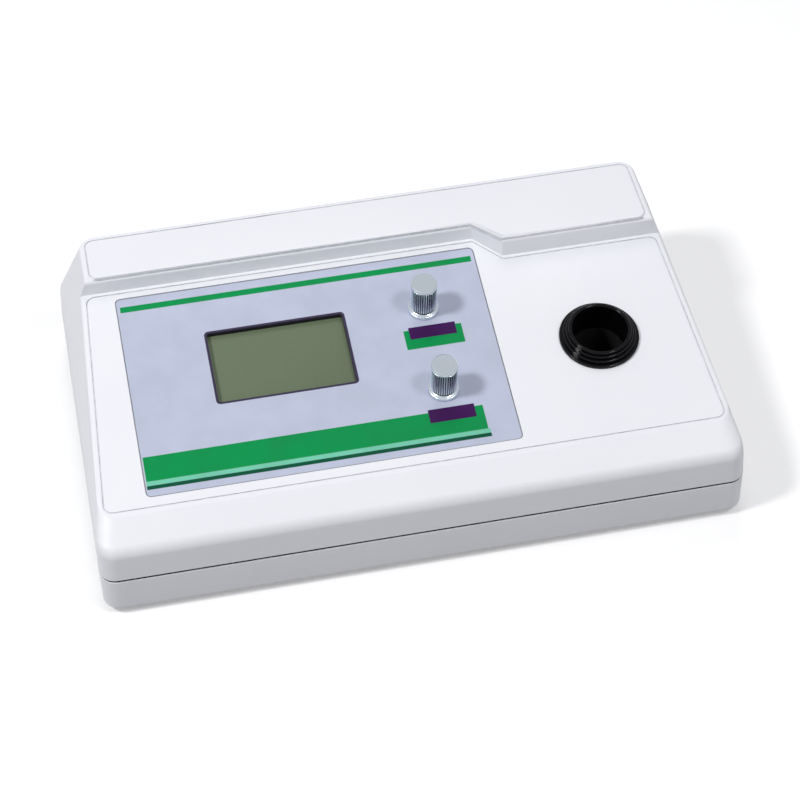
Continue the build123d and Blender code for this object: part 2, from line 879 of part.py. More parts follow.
def optics_screws():
    solids = []
    for side in ("left", "right", "front"):
        for x, y in optics_hole_places(side):
            solids.append(beam_side(Pos(x, y, optics_flange) * screw(6.0), side))
    return group(solids)


def drilled(body, side):
    for x, y in optics_hole_places(side):
        body -= Pos(x, y, 0) * rod(screw_hole_radius, optics_flange)
    return body


def lamp_housing():
    body = optics_flange_plate("left") + rod(lamp_tube_radius, lamp_tube_length)
    body -= rod(lamp_bore_radius, lamp_tube_length)
    return beam_side(drilled(body, "left"), "left")


def lens():
    """A plano-convex lens at the holder's end of the lamp tube."""
    disc = rod(lamp_bore_radius - lens_gap, lens_thickness * 0.5)
    dome = Pos(0, 0, lens_thickness - lens_curve) * Sphere(lens_curve)
    room = Pos(0, 0, lens_thickness * 0.5) * rod(lamp_bore_radius - lens_gap, lens_thickness)
    return beam_side(disc + (dome & room), "left")


def lens_ring():
    ring = tube(lamp_bore_radius - lens_gap, lamp_bore_radius - lens_ring_wall, lens_ring_thickness)
    return beam_side(Pos(0, 0, lens_thickness) * ring, "left")


def lamp_base():
    """The round board that closes the tube and carries the lamp."""
    disc = rod(lamp_tube_radius, lamp_base_thickness)
    return beam_side(Pos(0, 0, lamp_tube_length) * disc, "left")


def lamp():
    bulb = rod(lamp_radius, lamp_length - lamp_radius, top_down)
    bulb += Pos(0, 0, lamp_radius - lamp_length) * Sphere(lamp_radius)
    bulb += rod(lamp_radius + lamp_rim, 2 * lamp_rim, top_down)
    return beam_side(Pos(0, 0, lamp_tube_length) * bulb, "left")


def detector_housing():
    body = optics_flange_plate("front") + block(detector_side, detector_side, detector_length, 1.0)
    body -= rod(photodiode_radius + fit_gap, detector_length)
    return beam_side(drilled(body, "front"), "front")


def photodiode():
    can = rod(photodiode_radius, photodiode_length, top_down)
    can += rod(photodiode_radius + 0.2, 0.5, top_down)
    return beam_side(Pos(0, 0, detector_length) * can, "front")


def detector_board():
    board = block(detector_board_width, detector_board_height, board_thickness)
    chip = Pos(0, -8, board_thickness) * block(5, 4, 1.6)
    header = Pos(0, 8, board_thickness) * block(10, 2.5, 6)
    return beam_side(Pos(0, 0, detector_length) * (board + chip + header), "front")


def beam_trap():
    """A blind black cap opposite the lamp, with a cone inside that swallows the beam."""
    body = optics_flange_plate("right") + rod(trap_radius, trap_length)
    body -= Cone(trap_radius - 2.0, 0.5, trap_length - 2.0, align=bottom_up)
    return beam_side(drilled(body, "right"), "right")


def rear_plane_place(shape, x, z, out=0.0):
    """Set a shape built on XY with Z outwards on the rear panel's outer face."""
    face = Plane(origin=(0, front_y + rear_panel_back, 0), x_dir=(-1, 0, 0), z_dir=(0, 1, 0))
    return face * Pos(-x, z, out) * shape


def rear_middle_z():
    return base_z + bay_bottom + bay_height / 2


def panel_room(width, height):
    """An opening through the rear plate for a body of the given size, with a fit gap round it."""
    return block(width + 2 * fit_gap, height + 2 * fit_gap, rear_panel_thickness, align=top_down)


def rear_panel():
    """The flat plate in the rear bay that carries the inlet and the switch."""
    width = bay_width - 2 * panel_gap
    height = bay_height - 2 * panel_gap
    plate = block(width, height, rear_panel_thickness, align=top_down)
    plate = rear_plane_place(plate, bay_x, rear_middle_z())
    for x, z in rear_screw_places():
        plate -= rear_plane_place(rod(screw_hole_radius, rear_panel_thickness, top_down), x, z)
    plate -= rear_plane_place(panel_room(inlet_width, inlet_height), inlet_x, rear_middle_z())
    for side in (-1, 1):
        hole = rod(screw_hole_radius, rear_panel_thickness, top_down)
        plate -= rear_plane_place(hole, inlet_x + side * inlet_screw_pitch / 2, rear_middle_z())
    room = panel_room(switch_body_width, switch_body_height)
    return plate - rear_plane_place(room, switch_x, rear_middle_z())


def rear_panel_screws():
    return group(rear_plane_place(screw(4.0), x, z) for x, z in rear_screw_places())


def on_inlet(shape, x=0.0, z=0.0, out=0.0):
    return rear_plane_place(shape, inlet_x + x, rear_middle_z() + z, out)


def socket_outline():
    """The inlet's mouth: a rectangle with its two upper corners cut off."""
    outline = Rectangle(socket_width, socket_height)
    upper = outline.vertices().group_by(Axis.Y)[-1]
    return chamfer(upper, socket_chamfer)


def pin_places():
    return [(-pin_pitch / 2, -pin_offset / 2), (pin_pitch / 2, -pin_offset / 2), (0, pin_offset / 2)]


def power_inlet():
    """The inlet's black body: a socket above, a slot for the fuse drawer below."""
    body = block(inlet_flange_width, inlet_flange_height, inlet_flange, 3.0)
    body += block(inlet_width, inlet_height, inlet_depth, align=top_down)
    mouth = inlet_flange - socket_depth
    body -= Pos(0, socket_rise, mouth) * extrude(socket_outline(), FAR)
    slot = block(drawer_width + 2 * drawer_gap, drawer_height + 2 * drawer_gap, FAR)
    body -= Pos(0, -drawer_drop, inlet_flange - drawer_depth - drawer_gap) * slot
    for x, z in pin_places():
        hole = block(pin_width, pin_height, FAR, align=(Align.CENTER, Align.CENTER, Align.CENTER))
        body -= Pos(x, socket_rise + z, 0) * hole
    for side in (-1, 1):
        body -= Pos(side * inlet_screw_pitch / 2, 0, 0) * rod(screw_hole_radius, inlet_flange)
    return on_inlet(body)


def inlet_pins():
    length = inlet_depth + pin_tab + inlet_flange - pin_recess
    pin = Pos(0, 0, inlet_flange - pin_recess) * block(pin_width, pin_height, length, align=top_down)
    return group(on_inlet(pin, -x, socket_rise + z) for x, z in pin_places())


def inlet_screws():
    places = [side * inlet_screw_pitch / 2 for side in (-1, 1)]
    return group(on_inlet(screw(8.0), x, 0, inlet_flange) for x in places)


def inlet_nuts():
    nut = extrude(RegularPolygon(2.75, 6, major_radius=False), 2.4)
    nut -= rod(screw_radius + thread_gap, 2.4)
    places = [side * inlet_screw_pitch / 2 for side in (-1, 1)]
    return group(on_inlet(nut, x, 0, -rear_panel_thickness - 2.4) for x in places)


def fuse_drawer():
    """The tray that slides out below the socket, with a finger lip on its face."""
    tray = block(drawer_width, drawer_height, drawer_depth, align=top_down)
    room_width = 2 * (fuse_radius + drawer_gap)
    room = block(room_width, drawer_height, fuse_length + 2 * drawer_gap, align=top_down)
    tray -= Pos(0, drawer_floor, -drawer_end) * room
    face = block(drawer_width + 2, drawer_height + 1, drawer_face, 0.6)
    lip = Pos(0, drawer_height / 2 - 1.2, drawer_face) * block(drawer_width * 0.5, 1.2, drawer_lip)
    return on_inlet(tray + face + lip, 0, -drawer_drop, inlet_flange)


def in_drawer(shape, depth):
    """Set a piece of the fuse in the drawer's room, at a depth behind the flange's face."""
    z = -drawer_drop - drawer_height / 2 + drawer_floor + fuse_radius
    return on_inlet(shape, 0, z, inlet_flange - drawer_end - drawer_gap - depth)


def fuse_glass():
    body = rod(fuse_radius - 0.3, fuse_length - 2 * fuse_cap_length, top_down)
    return in_drawer(body, fuse_cap_length)


def fuse_caps():
    cap = rod(fuse_radius, fuse_cap_length, top_down)
    return group(in_drawer(cap, depth) for depth in (0, fuse_length - fuse_cap_length))


def on_switch(shape, x=0.0, z=0.0, out=0.0):
    return rear_plane_place(shape, switch_x + x, rear_middle_z() + z, out)


def rocker_radius():
    return switch_body_height / 2 - switch_wall - rocker_gap


def rocker_width():
    return switch_body_width - 2 * switch_wall - 2 * rocker_gap


def switch_body():
    """The switch's black frame and box, hollow in front where the rocker turns."""
    body = block(switch_bezel_width, switch_bezel_height, switch_bezel, 0.8)
    body += block(switch_body_width, switch_body_height, switch_body_depth, align=top_down)
    room = block(switch_body_width - 2 * switch_wall, switch_body_height - 2 * switch_wall, FAR)
    body -= Pos(0, 0, -rocker_radius() - rocker_gap) * room
    centred = (Align.CENTER, Align.CENTER, Align.CENTER)
    pivot = rod(rocker_pivot_radius + thread_gap, switch_body_width, centred)
    return on_switch(body - Rot(0, 90, 0) * pivot)


def switch_rocker():
    """A rocker whose two faces meet in a shallow V, shown pressed at its lower end."""
    middle = (Align.CENTER, Align.CENTER, Align.CENTER)
    drum = Rot(0, 90, 0) * rod(rocker_radius(), rocker_width(), middle)
    keep = Pos(0, 0, -rocker_back) * block(FAR, FAR, rocker_back + rocker_radius())
    body = drum & keep
    for side in (-1, 1):
        cut = Pos(0, 0, switch_bezel + rocker_dip) * Rot(side * rocker_tilt, 0, 0) * block(FAR, FAR, FAR)
        half = Pos(0, side * FAR / 2, 0) * Box(FAR, FAR, FAR)
        body -= cut & half
    body += Rot(0, 90, 0) * rod(rocker_pivot_radius, rocker_width() + 2 * rocker_pivot_length, middle)
    return on_switch(Rot(rocker_tilt, 0, 0) * body)


def switch_terminals():
    tab = block(terminal_width, terminal_thickness, terminal_length, align=top_down)
    places = (-terminal_step, 0.0)
    return group(on_switch(tab, 0, z, -switch_body_depth) for z in places)


def main_board():
    board = block(main_board_width, main_board_depth, board_thickness)
    pitch_x = main_board_width - 2 * board_hole_inset
    pitch_y = main_board_depth - 2 * board_hole_inset
    for x, y in rectangle_places(pitch_x, pitch_y):
        board -= Pos(x, y, 0) * rod(screw_hole_radius, board_thickness)
    return Pos(main_board_x, main_board_y, floor_z + board_lift) * board


def on_board(shape, x, y):
    return Pos(main_board_x + x, main_board_y + y, floor_z + board_lift + board_thickness) * shape


def inner_screws():
    """Six identical screws: four for the main board, two for the transformer."""
    top = floor_z + board_lift + board_thickness
    screws = [Pos(x, y, top) * screw(short_screw_length) for x, y in main_board_places()]
    top = floor_z + transformer_lift + bracket_thickness
    screws += [Pos(x, y, top) * screw(short_screw_length) for x, y in transformer_places()]
    return group(screws)


def board_chips():
    """The processor, the converter and two amplifiers."""
    chips = []
    for width, depth, height, x, y in chip_sizes_and_places:
        chips.append(on_board(block(width, depth, height), x, y))
    return group(chips)


def board_capacitors():
    can = rod(capacitor_radius, capacitor_height)
    can = fillet(can.edges().group_by(Axis.Z)[-1], capacitor_edge)
    return group(on_board(can, x, capacitor_y) for x in capacitor_xs)


def board_connectors():
    plug = block(plug_length, plug_width, plug_height, plug_corner)
    side_plug = block(plug_width, side_plug_length, plug_height, plug_corner)
    wide = block(ribbon_width + 2 * ribbon_gap, plug_width, plug_height, plug_corner)
    plugs = [on_board(plug, x, -front_plug_y) for x in (correction_plug_x, zero_plug_x)]
    plugs.append(on_board(wide, window_x - main_board_x, -ribbon_plug_y))
    plugs.append(on_board(plug, power_plug_x, power_plug_y))
    plugs.append(on_board(side_plug, side_plug_x, 0))
    return group(plugs)


def board_regulator():
    """The voltage regulator on its finned heat sink."""
    sink = block(sink_width, sink_thickness, sink_height)
    for step in range(-2, 3):
        fin = block(fin_thickness, fin_depth, sink_height)
        sink += Pos(step * fin_pitch, fin_depth / 2, 0) * fin
    front = -(sink_thickness + regulator_thickness) / 2
    tab = Pos(0, front, regulator_lift) * block(regulator_width, regulator_thickness, regulator_height)
    leads = Pos(0, front, 0) * block(regulator_leads_width, regulator_lead, regulator_lift)
    return on_board(sink + tab + leads, regulator_x, regulator_y)


def transformer_z():
    return floor_z + transformer_lift + bracket_thickness


def transformer_core():
    """A stack of steel plates with two windows that the coil passes through."""
    limb = core_width / 4
    window = (core_width - 2 * limb / 2 - limb) / 2
    core = Box(core_width, core_thickness, core_height, align=bottom_up)
    room = Box(window, core_thickness, coil_height, align=bottom_up)
    for side in (-1, 1):
        core -= Pos(side * (limb / 2 + window / 2), 0, (core_height - coil_height) / 2) * room
    return Pos(transformer_x, transformer_y, transformer_z()) * core


def transformer_coil():
    """The wound bobbin around the middle limb, bulging out in front and behind."""
    limb = core_width / 4
    depth = core_thickness + 2 * coil_overhang
    height = coil_height - 2 * fit_gap
    coil = block(coil_width - 2 * fit_gap, depth, height, 4.0)
    coil -= Box(limb + 2 * fit_gap, core_thickness + 2 * fit_gap, height, align=bottom_up)
    low = (core_height - coil_height) / 2 + fit_gap
    return Pos(transformer_x, transformer_y, transformer_z() + low) * coil


def transformer_bracket():
    """The bent strap over the core, with an ear at each side."""
    width = core_width + 2 * (bracket_thickness + bracket_ear)
    depth = core_thickness * bracket_share
    ears = Box(width, depth, bracket_thickness, align=bottom_up)
    outer_width = core_width + 2 * bracket_thickness
    sides = Box(outer_width, depth, core_height + bracket_thickness, align=bottom_up)
    room = Box(core_width, core_thickness, core_height, align=bottom_up)
    strap = ears + Pos(0, 0, bracket_thickness) * (sides - room)
    for side in (-1, 1):
        x = side * (core_width / 2 + bracket_ear / 2)
        strap -= Pos(x, 0, 0) * rod(screw_hole_radius, bracket_thickness)
    return Pos(transformer_x, transformer_y, floor_z + transformer_lift) * strap


def wire(*points):
    """A round wire through the given points, with each bend as wide as its two runs allow."""
    corners = [Vector(p) for p in points]
    runs = [b - a for a, b in zip(corners, corners[1:])]
    radii = []
    for before, after in zip(runs, runs[1:]):
        turn = radians(before.get_angle(after))
        radii.append(0.45 * min(before.length, after.length) / tan(turn / 2))
    path = FilletPolyline(*corners, radius=radii) if radii else Line(*corners)
    start = Plane(origin=corners[0], z_dir=runs[0])
    return sweep(start * Circle(wire_radius), path=path)


def in_room(shape_point, plane=panel_plane):
    """A point given on the sloping panel, in the casing's own axes."""
    return plane.from_local_coords(Vector(shape_point))


def connector_top():
    return floor_z + board_lift + board_thickness + plug_height


def mains_wires():
    """Live by way of the switch, and neutral straight from the inlet, to the transformer."""
    face_y = front_y + rear_panel_back
    pin_y = face_y + inlet_flange - pin_recess - (inlet_depth + pin_tab + inlet_flange - pin_recess)
    pin_z = rear_middle_z() + socket_rise - pin_offset / 2
    tab_y = face_y - switch_body_depth - terminal_length
    tab_z = rear_middle_z() - terminal_step
    coil_y = transformer_y - core_thickness / 2 - coil_overhang / 2
    coil_z = transformer_z() + (core_height + coil_height) / 2 - fit_gap
    live_x = inlet_x + pin_pitch / 2
    neutral_x = inlet_x - pin_pitch / 2
    feed = wire(
        (live_x, pin_y, pin_z),
        (live_x, pin_y - 12, pin_z),
        (live_x + 22, pin_y - 14, pin_z - 5),
        (switch_x, tab_y - 18, tab_z),
        (switch_x, tab_y, tab_z),
    )
    switched = wire(
        (switch_x, tab_y, tab_z + terminal_step),
        (switch_x, tab_y - 17, tab_z + terminal_step),
        (switch_x + 30, coil_y + 2, coil_z + 13),
        (transformer_x - 30, coil_y - 3, coil_z + 15),
        (transformer_x - 12, coil_y, coil_z + 12),
        (transformer_x - 12, coil_y, coil_z),
    )
    neutral = wire(
        (neutral_x, pin_y, pin_z),
        (neutral_x, pin_y - 15, pin_z),
        (neutral_x + 25, pin_y - 22, pin_z + 5),
        (switch_x + 12, pin_y - 22, pin_z + 7),
        (transformer_x - 22, coil_y - 6, coil_z + 18),
        (transformer_x - 4, coil_y, coil_z + 16),
        (transformer_x - 4, coil_y, coil_z),
    )
    plug_x = main_board_x + power_plug_x - 3
    plug_y = main_board_y + power_plug_y
    low_voltage = []
    for side in (0, 6):
        low_voltage.append(
            wire(
                (transformer_x + 6 + side, coil_y, coil_z),
                (transformer_x + 6 + side, coil_y, coil_z + wire_drop),
                (transformer_x - 20 + side, coil_y - 10, coil_z + 5),
                (main_board_x + side_plug_x + side, main_board_y + 55, coil_z - 8),
                (plug_x + side, plug_y, connector_top() + 12),
                (plug_x + side, plug_y, connector_top()),
            )
        )
    return group([feed, switched, neutral] + low_voltage)


def knob_leads():
    """Three leads from each potentiometer's lugs down to the front edge of the main board."""
    leads = []
    for v, plug_x in ((zero_knob_v, zero_plug_x), (correction_knob_v, correction_plug_x)):
        for step in (-pot_lug_pitch, 0, pot_lug_pitch):
            tip = v - pot_radius - pot_lug_length
            height = roof - pot_depth / 2
            end_x = main_board_x + plug_x + step
            end_y = main_board_y - front_plug_y
            start = in_room((knob_x + step, tip, height))
            leave = in_room((knob_x + step, tip - wire_drop, height))
            over = (end_x, (leave.Y + end_y) / 2 - 2, connector_top() + wire_drop + 5)
            above = (end_x, end_y, connector_top() + wire_drop)
            leads.append(wire(start, leave, over, above, (end_x, end_y, connector_top())))
    return leads


def sensor_leads():
    """Two leads from the lamp's board and two from the detector's board to the main board."""
    leads = []
    end_x = main_board_x + side_plug_x
    for step in (-2.5, 2.5):
        lamp_x = well_x - holder_side / 2 - lamp_tube_length - lamp_base_thickness
        start = in_room((lamp_x, well_v + step, -beam_depth))
        end_y = main_board_y + 8 + step
        leads.append(
            wire(
                start,
                (lamp_x - wire_drop, start.Y, start.Z),
                (end_x + wire_drop, (start.Y + end_y) / 2, start.Z + 2),
                (end_x, end_y, connector_top() + wire_drop),
                (end_x, end_y, connector_top()),
            )
        )
        tip = well_v - holder_side / 2 - detector_length - board_thickness - 6
        start = in_room((well_x + step, tip, -beam_depth + wire_drop))
        leave = in_room((well_x + step, tip - wire_drop, -beam_depth + wire_drop))
        end_y = main_board_y - 8 + step
        leads.append(
            wire(
                start,
                leave,
                (well_x - 30 + step, leave.Y - 4, leave.Z - 2),
                (end_x + 12, (leave.Y + end_y) / 2, connector_top() + wire_drop),
                (end_x, end_y, connector_top() + wire_drop),
                (end_x, end_y, connector_top()),
            )
        )
    return leads


def signal_wires():
    return group(knob_leads() + sensor_leads())


def display_ribbon():
    """The flat cable from the display's pin header to the main board."""
    header_v = window_v - display_board_length / 2 + 3
    top = in_room((window_x, header_v, roof - bezel_height - board_thickness - 8.5))
    end_y = main_board_y - 36
    path = FilletPolyline(
        (window_x, top.Y, top.Z - 0.4),
        (window_x, top.Y, top.Z - wire_drop),
        (window_x, end_y, connector_top() + wire_drop),
        (window_x, end_y, connector_top()),
        radius=3.0,
    )
    start = Plane(origin=(window_x, top.Y, top.Z - 0.4), x_dir=(1, 0, 0), z_dir=(0, 0, -1))
    return sweep(start * Rectangle(ribbon_width, ribbon_thickness), path=path)


def all_parts():
    parts = {
        "base_shell": base_shell(),
        "top_cover": top_cover(),
        "front_label": front_label(),
        "rubber_feet": rubber_feet(),
        "case_screws": case_screws(),
        "display_gasket": display_gasket(),
        "display_bezel": display_bezel(),
        "display_glass": display_glass(),
        "display_backlight": display_backlight(),
        "display_board": display_board(),
        "display_chips": display_chips(),
        "display_screws": display_screws(),
        "well_collar": well_collar(),
        "collar_nut": collar_nut(),
        "cell_holder": cell_holder(),
        "holder_screws": holder_screws(),
        "lamp_housing": lamp_housing(),
        "lamp_lens": lens(),
        "lens_ring": lens_ring(),
        "lamp": lamp(),
        "lamp_base": lamp_base(),
        "detector_housing": detector_housing(),
        "photodiode": photodiode(),
        "detector_board": detector_board(),
        "beam_trap": beam_trap(),
        "optics_screws": optics_screws(),
        "pot_washers": pot_washers(),
        "pot_nuts": pot_nuts(),
        "rear_panel": rear_panel(),
        "rear_panel_screws": rear_panel_screws(),
        "power_inlet": power_inlet(),
        "inlet_pins": inlet_pins(),
        "inlet_screws": inlet_screws(),
        "inlet_nuts": inlet_nuts(),
        "fuse_drawer": fuse_drawer(),
        "fuse_glass": fuse_glass(),
        "fuse_caps": fuse_caps(),
        "switch_body": switch_body(),
        "switch_rocker": switch_rocker(),
        "switch_terminals": switch_terminals(),
        "main_board": main_board(),
        "inner_screws": inner_screws(),
        "board_chips": board_chips(),
        "board_capacitors": board_capacitors(),
        "board_connectors": board_connectors(),
        "board_regulator": board_regulator(),
        "transformer_core": transformer_core(),
        "transformer_coil": transformer_coil(),
        "transformer_bracket": transformer_bracket(),
        "mains_wires": mains_wires(),
        "signal_wires": signal_wires(),
        "display_ribbon": display_ribbon(),
    }
    for name, v in (("zero", zero_knob_v), ("correction", correction_knob_v)):
        parts[name + "_knob"] = knob(v)
        parts[name + "_set_screw"] = set_screw(v)
        parts[name + "_pot_shaft"] = pot_shaft(v)
        parts[name + "_pot_body"] = pot_body(v)
    return parts


def main():
    os.makedirs("parts", exist_ok=True)
    for name, shape in all_parts().items():
        export_step(shape, f"parts/{name}.step")


main()
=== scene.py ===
"""Dresses a packed turbidity meter: smooth surfaces, finishes, light and camera."""

import math

import bmesh
import bpy
import numpy as np
from bpy.props import FloatProperty, FloatVectorProperty, IntProperty, PointerProperty
from mathutils import Matrix, Vector
from mathutils.geometry import tessellate_polygon


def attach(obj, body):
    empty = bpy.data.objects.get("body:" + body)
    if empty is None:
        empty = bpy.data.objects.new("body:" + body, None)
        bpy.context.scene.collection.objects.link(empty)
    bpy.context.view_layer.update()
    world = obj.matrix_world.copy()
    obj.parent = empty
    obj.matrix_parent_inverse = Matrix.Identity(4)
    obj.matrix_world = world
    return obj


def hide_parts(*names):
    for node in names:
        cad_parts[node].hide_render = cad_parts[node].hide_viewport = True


bl_info = {
    "name": "Turbidity Meter Dressing",
    "version": (1, 0, 0),
    "blender": (4, 5, 0),
    "location": "View3D > Sidebar > Meter",
    "description": "Builds the smooth casing, printed plate, knobs and collar of a bench turbidity meter",
    "category": "Object",
}

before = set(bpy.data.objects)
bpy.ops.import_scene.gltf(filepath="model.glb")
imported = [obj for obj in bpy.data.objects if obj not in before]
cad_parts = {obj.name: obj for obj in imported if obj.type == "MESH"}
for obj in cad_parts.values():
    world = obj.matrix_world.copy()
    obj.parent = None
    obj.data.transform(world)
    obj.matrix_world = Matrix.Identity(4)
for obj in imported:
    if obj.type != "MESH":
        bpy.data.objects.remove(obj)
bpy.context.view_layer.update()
MM = 0.001

# The casing's plan and levels in millimetres, above the table
HALF_WIDTH = 170.0
HALF_DEPTH = 105.0
CORNER = 9.0
BASE_BOTTOM = 3.0
PARTING = 26.0
COVER_BOTTOM = 26.8
SHOULDER = 45.6
SHOULDER_IN = 1.0
SHOULDER_BELOW = 41.6
SHOULDER_ABOVE = 47.6
TOP = 85.5
HIP_RUN = math.tan(math.radians(19.6))
BEVEL_RUN = 17.4 / 8.4

# The sloping panel and the platform's jogged front
TILT = math.radians(9.0)
PANEL_Y = -86.6
PANEL_Z = 54.0
RISER_LEFT = 54.3
RISER_RIGHT = 39.8
JOG_LEFT = 56.8
JOG_RIGHT = 70.9

# The bay in the back wall
BAY_LEFT = -135.0
BAY_RIGHT = -5.0
BAY_LOW = 35.0
BAY_HIGH = 75.0
BAY_FACE = 88.5

# Places on the panel: across, and up the slope
LABEL_X = -42.3
LABEL_V = 73.0
WINDOW_X = -58.9
WINDOW_V = 83.1
WINDOW_WIDTH = 73.2
WINDOW_LENGTH = 45.1
KNOB_X = 21.4
KNOB_VS = (101.1, 47.3)
WELL_X = 109.6
WELL_V = 65.2

# The cover's wall, its grooves and its openings
COVER_WALL = 1.6
GROOVE_INSET = 2.6
GROOVE_RISER = 1.7
GROOVE_CORNER = 5
GROOVE_JOG = 2
SHAFT_HOLE = 3.75
WELL_HOLE = 18.1

# The printed plate: width, length and corner, then its seat and its window
LABEL_SIZE = (196.3, 127.8, 3.0)
LABEL_GAP = 0.15
LABEL_RECESS = 1.2
LABEL_THICKNESS = 1.0
WINDOW_CORNER = 1.5
GASKET_ROOM = 3.7
DISPLAY_HALF = (36.0, 22.0)
FRAME_HALF = (38.0, 23.9)
FRAME_CORNER = 2.6

# The collar: each ring's radius and top, the softened edges, and the bore
COLLAR_STEPS = ((21.35, 1.8), (19.5, 3.8), (18.0, 5.7), (16.7, 7.5))
COLLAR_EDGE = 0.6
COLLAR_LIP = 0.8
COLLAR_PLAY = 0.3
WELL_BORE = 14.75
WELL_SLEEVE = -12.0

# The knobs: the neck's depth, the skirt's radius, and the nut's room and the bore by radius and top
KNOB_NECK = 0.5
KNOB_SKIRT = 8.35
KNOB_NUT_ROOM = (5.9, 3.5)
KNOB_BORE = (3.04, 17.04)

# The tray: its rim below the parting line, its tongue, its walls, and pockets by place, radius and depth
RIM_DROP = 0.8
TONGUE_INSET = 1.6
TONGUE_TOP = PARTING + 4.0
TRAY_WALL = 2.8
TRAY_FLOOR = 2.5
BASE_POCKETS = ((124.0, 83.0, 8.25, 1.0), (148.0, 86.0, 3.2, 2.3))

# How finely the walls and edges are divided
FRONT_COLUMNS = (14, 10, 40)
REAR_COLUMNS = (8, 10, 18, 14, 4)
WALL_LEVELS = (COVER_BOTTOM, 30.0, BAY_LOW, 38.0)
EDGE_STEPS = 6

# Printed areas: reach across, reach up the slope, ink
PRINTED_AREAS = (
    ((-139.4, 40.2), (15.9, 18.6), "mint"),
    ((-139.4, 40.2), (13.6, 15.9), "dark_green"),
    ((-139.3, 39.3), (18.6, 33.7), "green"),
    ((-138.4, 53.5), (127.5, 131.3), "green"),
    ((7.8, 39.2), (75.3, 87.8), "green"),
    ((10.7, 36.0), (81.7, 89.5), "purple"),
    ((10.4, 35.0), (27.1, 35.5), "purple"),
)

# Colours in 8-bit screen values
DARK_GREEN = (0, 84, 58)
MINT = (120, 206, 176)
WINDOW_FRAME = (66, 58, 82)
PLATE_EDGE = ((150, 154, 162), (132, 136, 146))
# Painted shade: the near-black of the parting gap and of the cover's cut edges.
GAP_PAINTED_SHADES = ((34, 33, 37), (56, 55, 60))
DISPLAY_COLOUR = (112, 126, 100)
WIRE_HUES = ((150, 30, 30), (34, 34, 38), (30, 70, 150), (210, 180, 50), (226, 226, 226), (40, 120, 60))

# Lamps by name, place, size and power, all aimed at one place, then the light from all round
LAMPS = (
    ("key_left", (-1.09, -0.3, 1.592), 0.34, 17.0),
    ("fill_right", (0.67, -0.7, 1.57), 0.36, 7.0),
    ("top", (0.1, 1.0, 1.7), 0.9, 6.2),
)
LAMP_AIM = (0, 0, 0.06)
WORLD_LIGHT = 0.30
WORLD_GLOSS = 0.5
FLOOR_BOUNCE = 0.42
FLOOR_LIFT = 0.25
FLOOR_REACH = 4.0
FLOOR_BELOW = -0.0002

# The camera, solved from the casing's corners in an 800 by 800 picture
CAMERA_PLACE = (-0.1525, -0.9014, 0.9785)
CAMERA_TURN = (0.811, -0.028, 0.173)
FOCAL_PIXELS = 2423.226
FRAME_PIXELS = 800.0
SENSOR = 36.0


def linear(red, green, blue):
    """A colour given in 8-bit screen values, as the linear values that a shader takes."""
    shares = [value / 255 for value in (red, green, blue)]
    return tuple(v / 12.92 if v <= 10 / 255 else ((v + 0.055) / 1.055) ** 2.4 for v in shares)


def dimmed(colour, share, more=0.0):
    """A colour times a factor, with a little added."""
    return tuple(c * share + more for c in colour)


def on_panel(x, v, height):
    """Panel coordinates to the frame: v runs up the slope, height stands off the surface."""
    x, v, height = np.broadcast_arrays(np.asarray(x, float), v, height)
    y = PANEL_Y + v * math.cos(TILT) - height * math.sin(TILT)
    z = PANEL_Z + v * math.sin(TILT) + height * math.cos(TILT)
    return np.stack([x, y, z], -1)


def grid_faces(rows, columns, closed):
    """The quads of a grid whose columns may join up round the piece."""
    i = np.arange(rows - 1)[:, None]
    j = np.arange(columns if closed else columns - 1)[None, :]
    k = (j + 1) % columns
    quads = np.stack([i * columns + j, i * columns + k, (i + 1) * columns + k, (i + 1) * columns + j], -1)
    return quads.reshape(-1, 4)


def sheet(points, closed=False):
    """A patch: points is rows by columns by 3."""
    points = np.asarray(points, float)
    return points.reshape(-1, 3), grid_faces(points.shape[0], points.shape[1], closed)


def filled(outline, holes=()):
    """A flat patch inside one loop of points and outside the loops in holes."""
    loops = [np.asarray(loop, float) for loop in (outline, *holes)]
    triangles = np.array(tessellate_polygon([loop.tolist() for loop in loops]))
    return np.concatenate(loops), triangles


def spun(radius, height, sides):
    """Rows turned round the upright axis: (r cos a, r sin a, h), with r by row or by row and angle."""
    angle = np.arange(sides) * 2 * math.pi / sides
    radius, height, angle = np.broadcast_arrays(radius, height, angle)
    return sheet(np.stack([radius * np.cos(angle), radius * np.sin(angle), height], -1), True)


def arc(start, corner, end, steps, weight=0.7071):
    """A conic from start to end pulled towards the corner: a circle's arc at the right weight."""
    t = np.linspace(0, 1, steps + 1)[:, None]
    t = t.reshape((-1,) + (1,) * np.ndim(start))
    first, middle, last = (1 - t) ** 2, 2 * weight * t * (1 - t), t**2
    total = first + middle + last
    return (first * np.asarray(start) + middle * np.asarray(corner) + last * np.asarray(end)) / total


def round_loop(corners, radii, inset=0.0, steps=6):
    """A polygon moved inwards by inset, each corner replaced by an arc; the corners run anticlockwise."""
    corners = np.asarray(corners, float)
    before, after = np.roll(corners, 1, 0), np.roll(corners, -1, 0)
    into = (corners - before) / np.linalg.norm(corners - before, axis=1, keepdims=True)
    out = (after - corners) / np.linalg.norm(after - corners, axis=1, keepdims=True)
    left_in = np.stack([-into[:, 1], into[:, 0]], 1)
    left_out = np.stack([-out[:, 1], out[:, 0]], 1)
    share = 1 + (left_in * left_out).sum(1, keepdims=True)
    moved = corners + inset * (left_in + left_out) / share
    bend = into[:, 0] * out[:, 1] - into[:, 1] * out[:, 0]
    radius = np.maximum(np.asarray(radii, float) - np.sign(bend) * inset, 0.05)[:, None]
    half = np.arccos(np.clip((into * out).sum(1, keepdims=True), -1, 1)) / 2
    reach = radius * np.tan(half)
    pieces = arc(moved - reach * into, moved, moved + reach * out, steps, np.cos(half))
    return pieces.transpose(1, 0, 2).reshape(-1, 2)


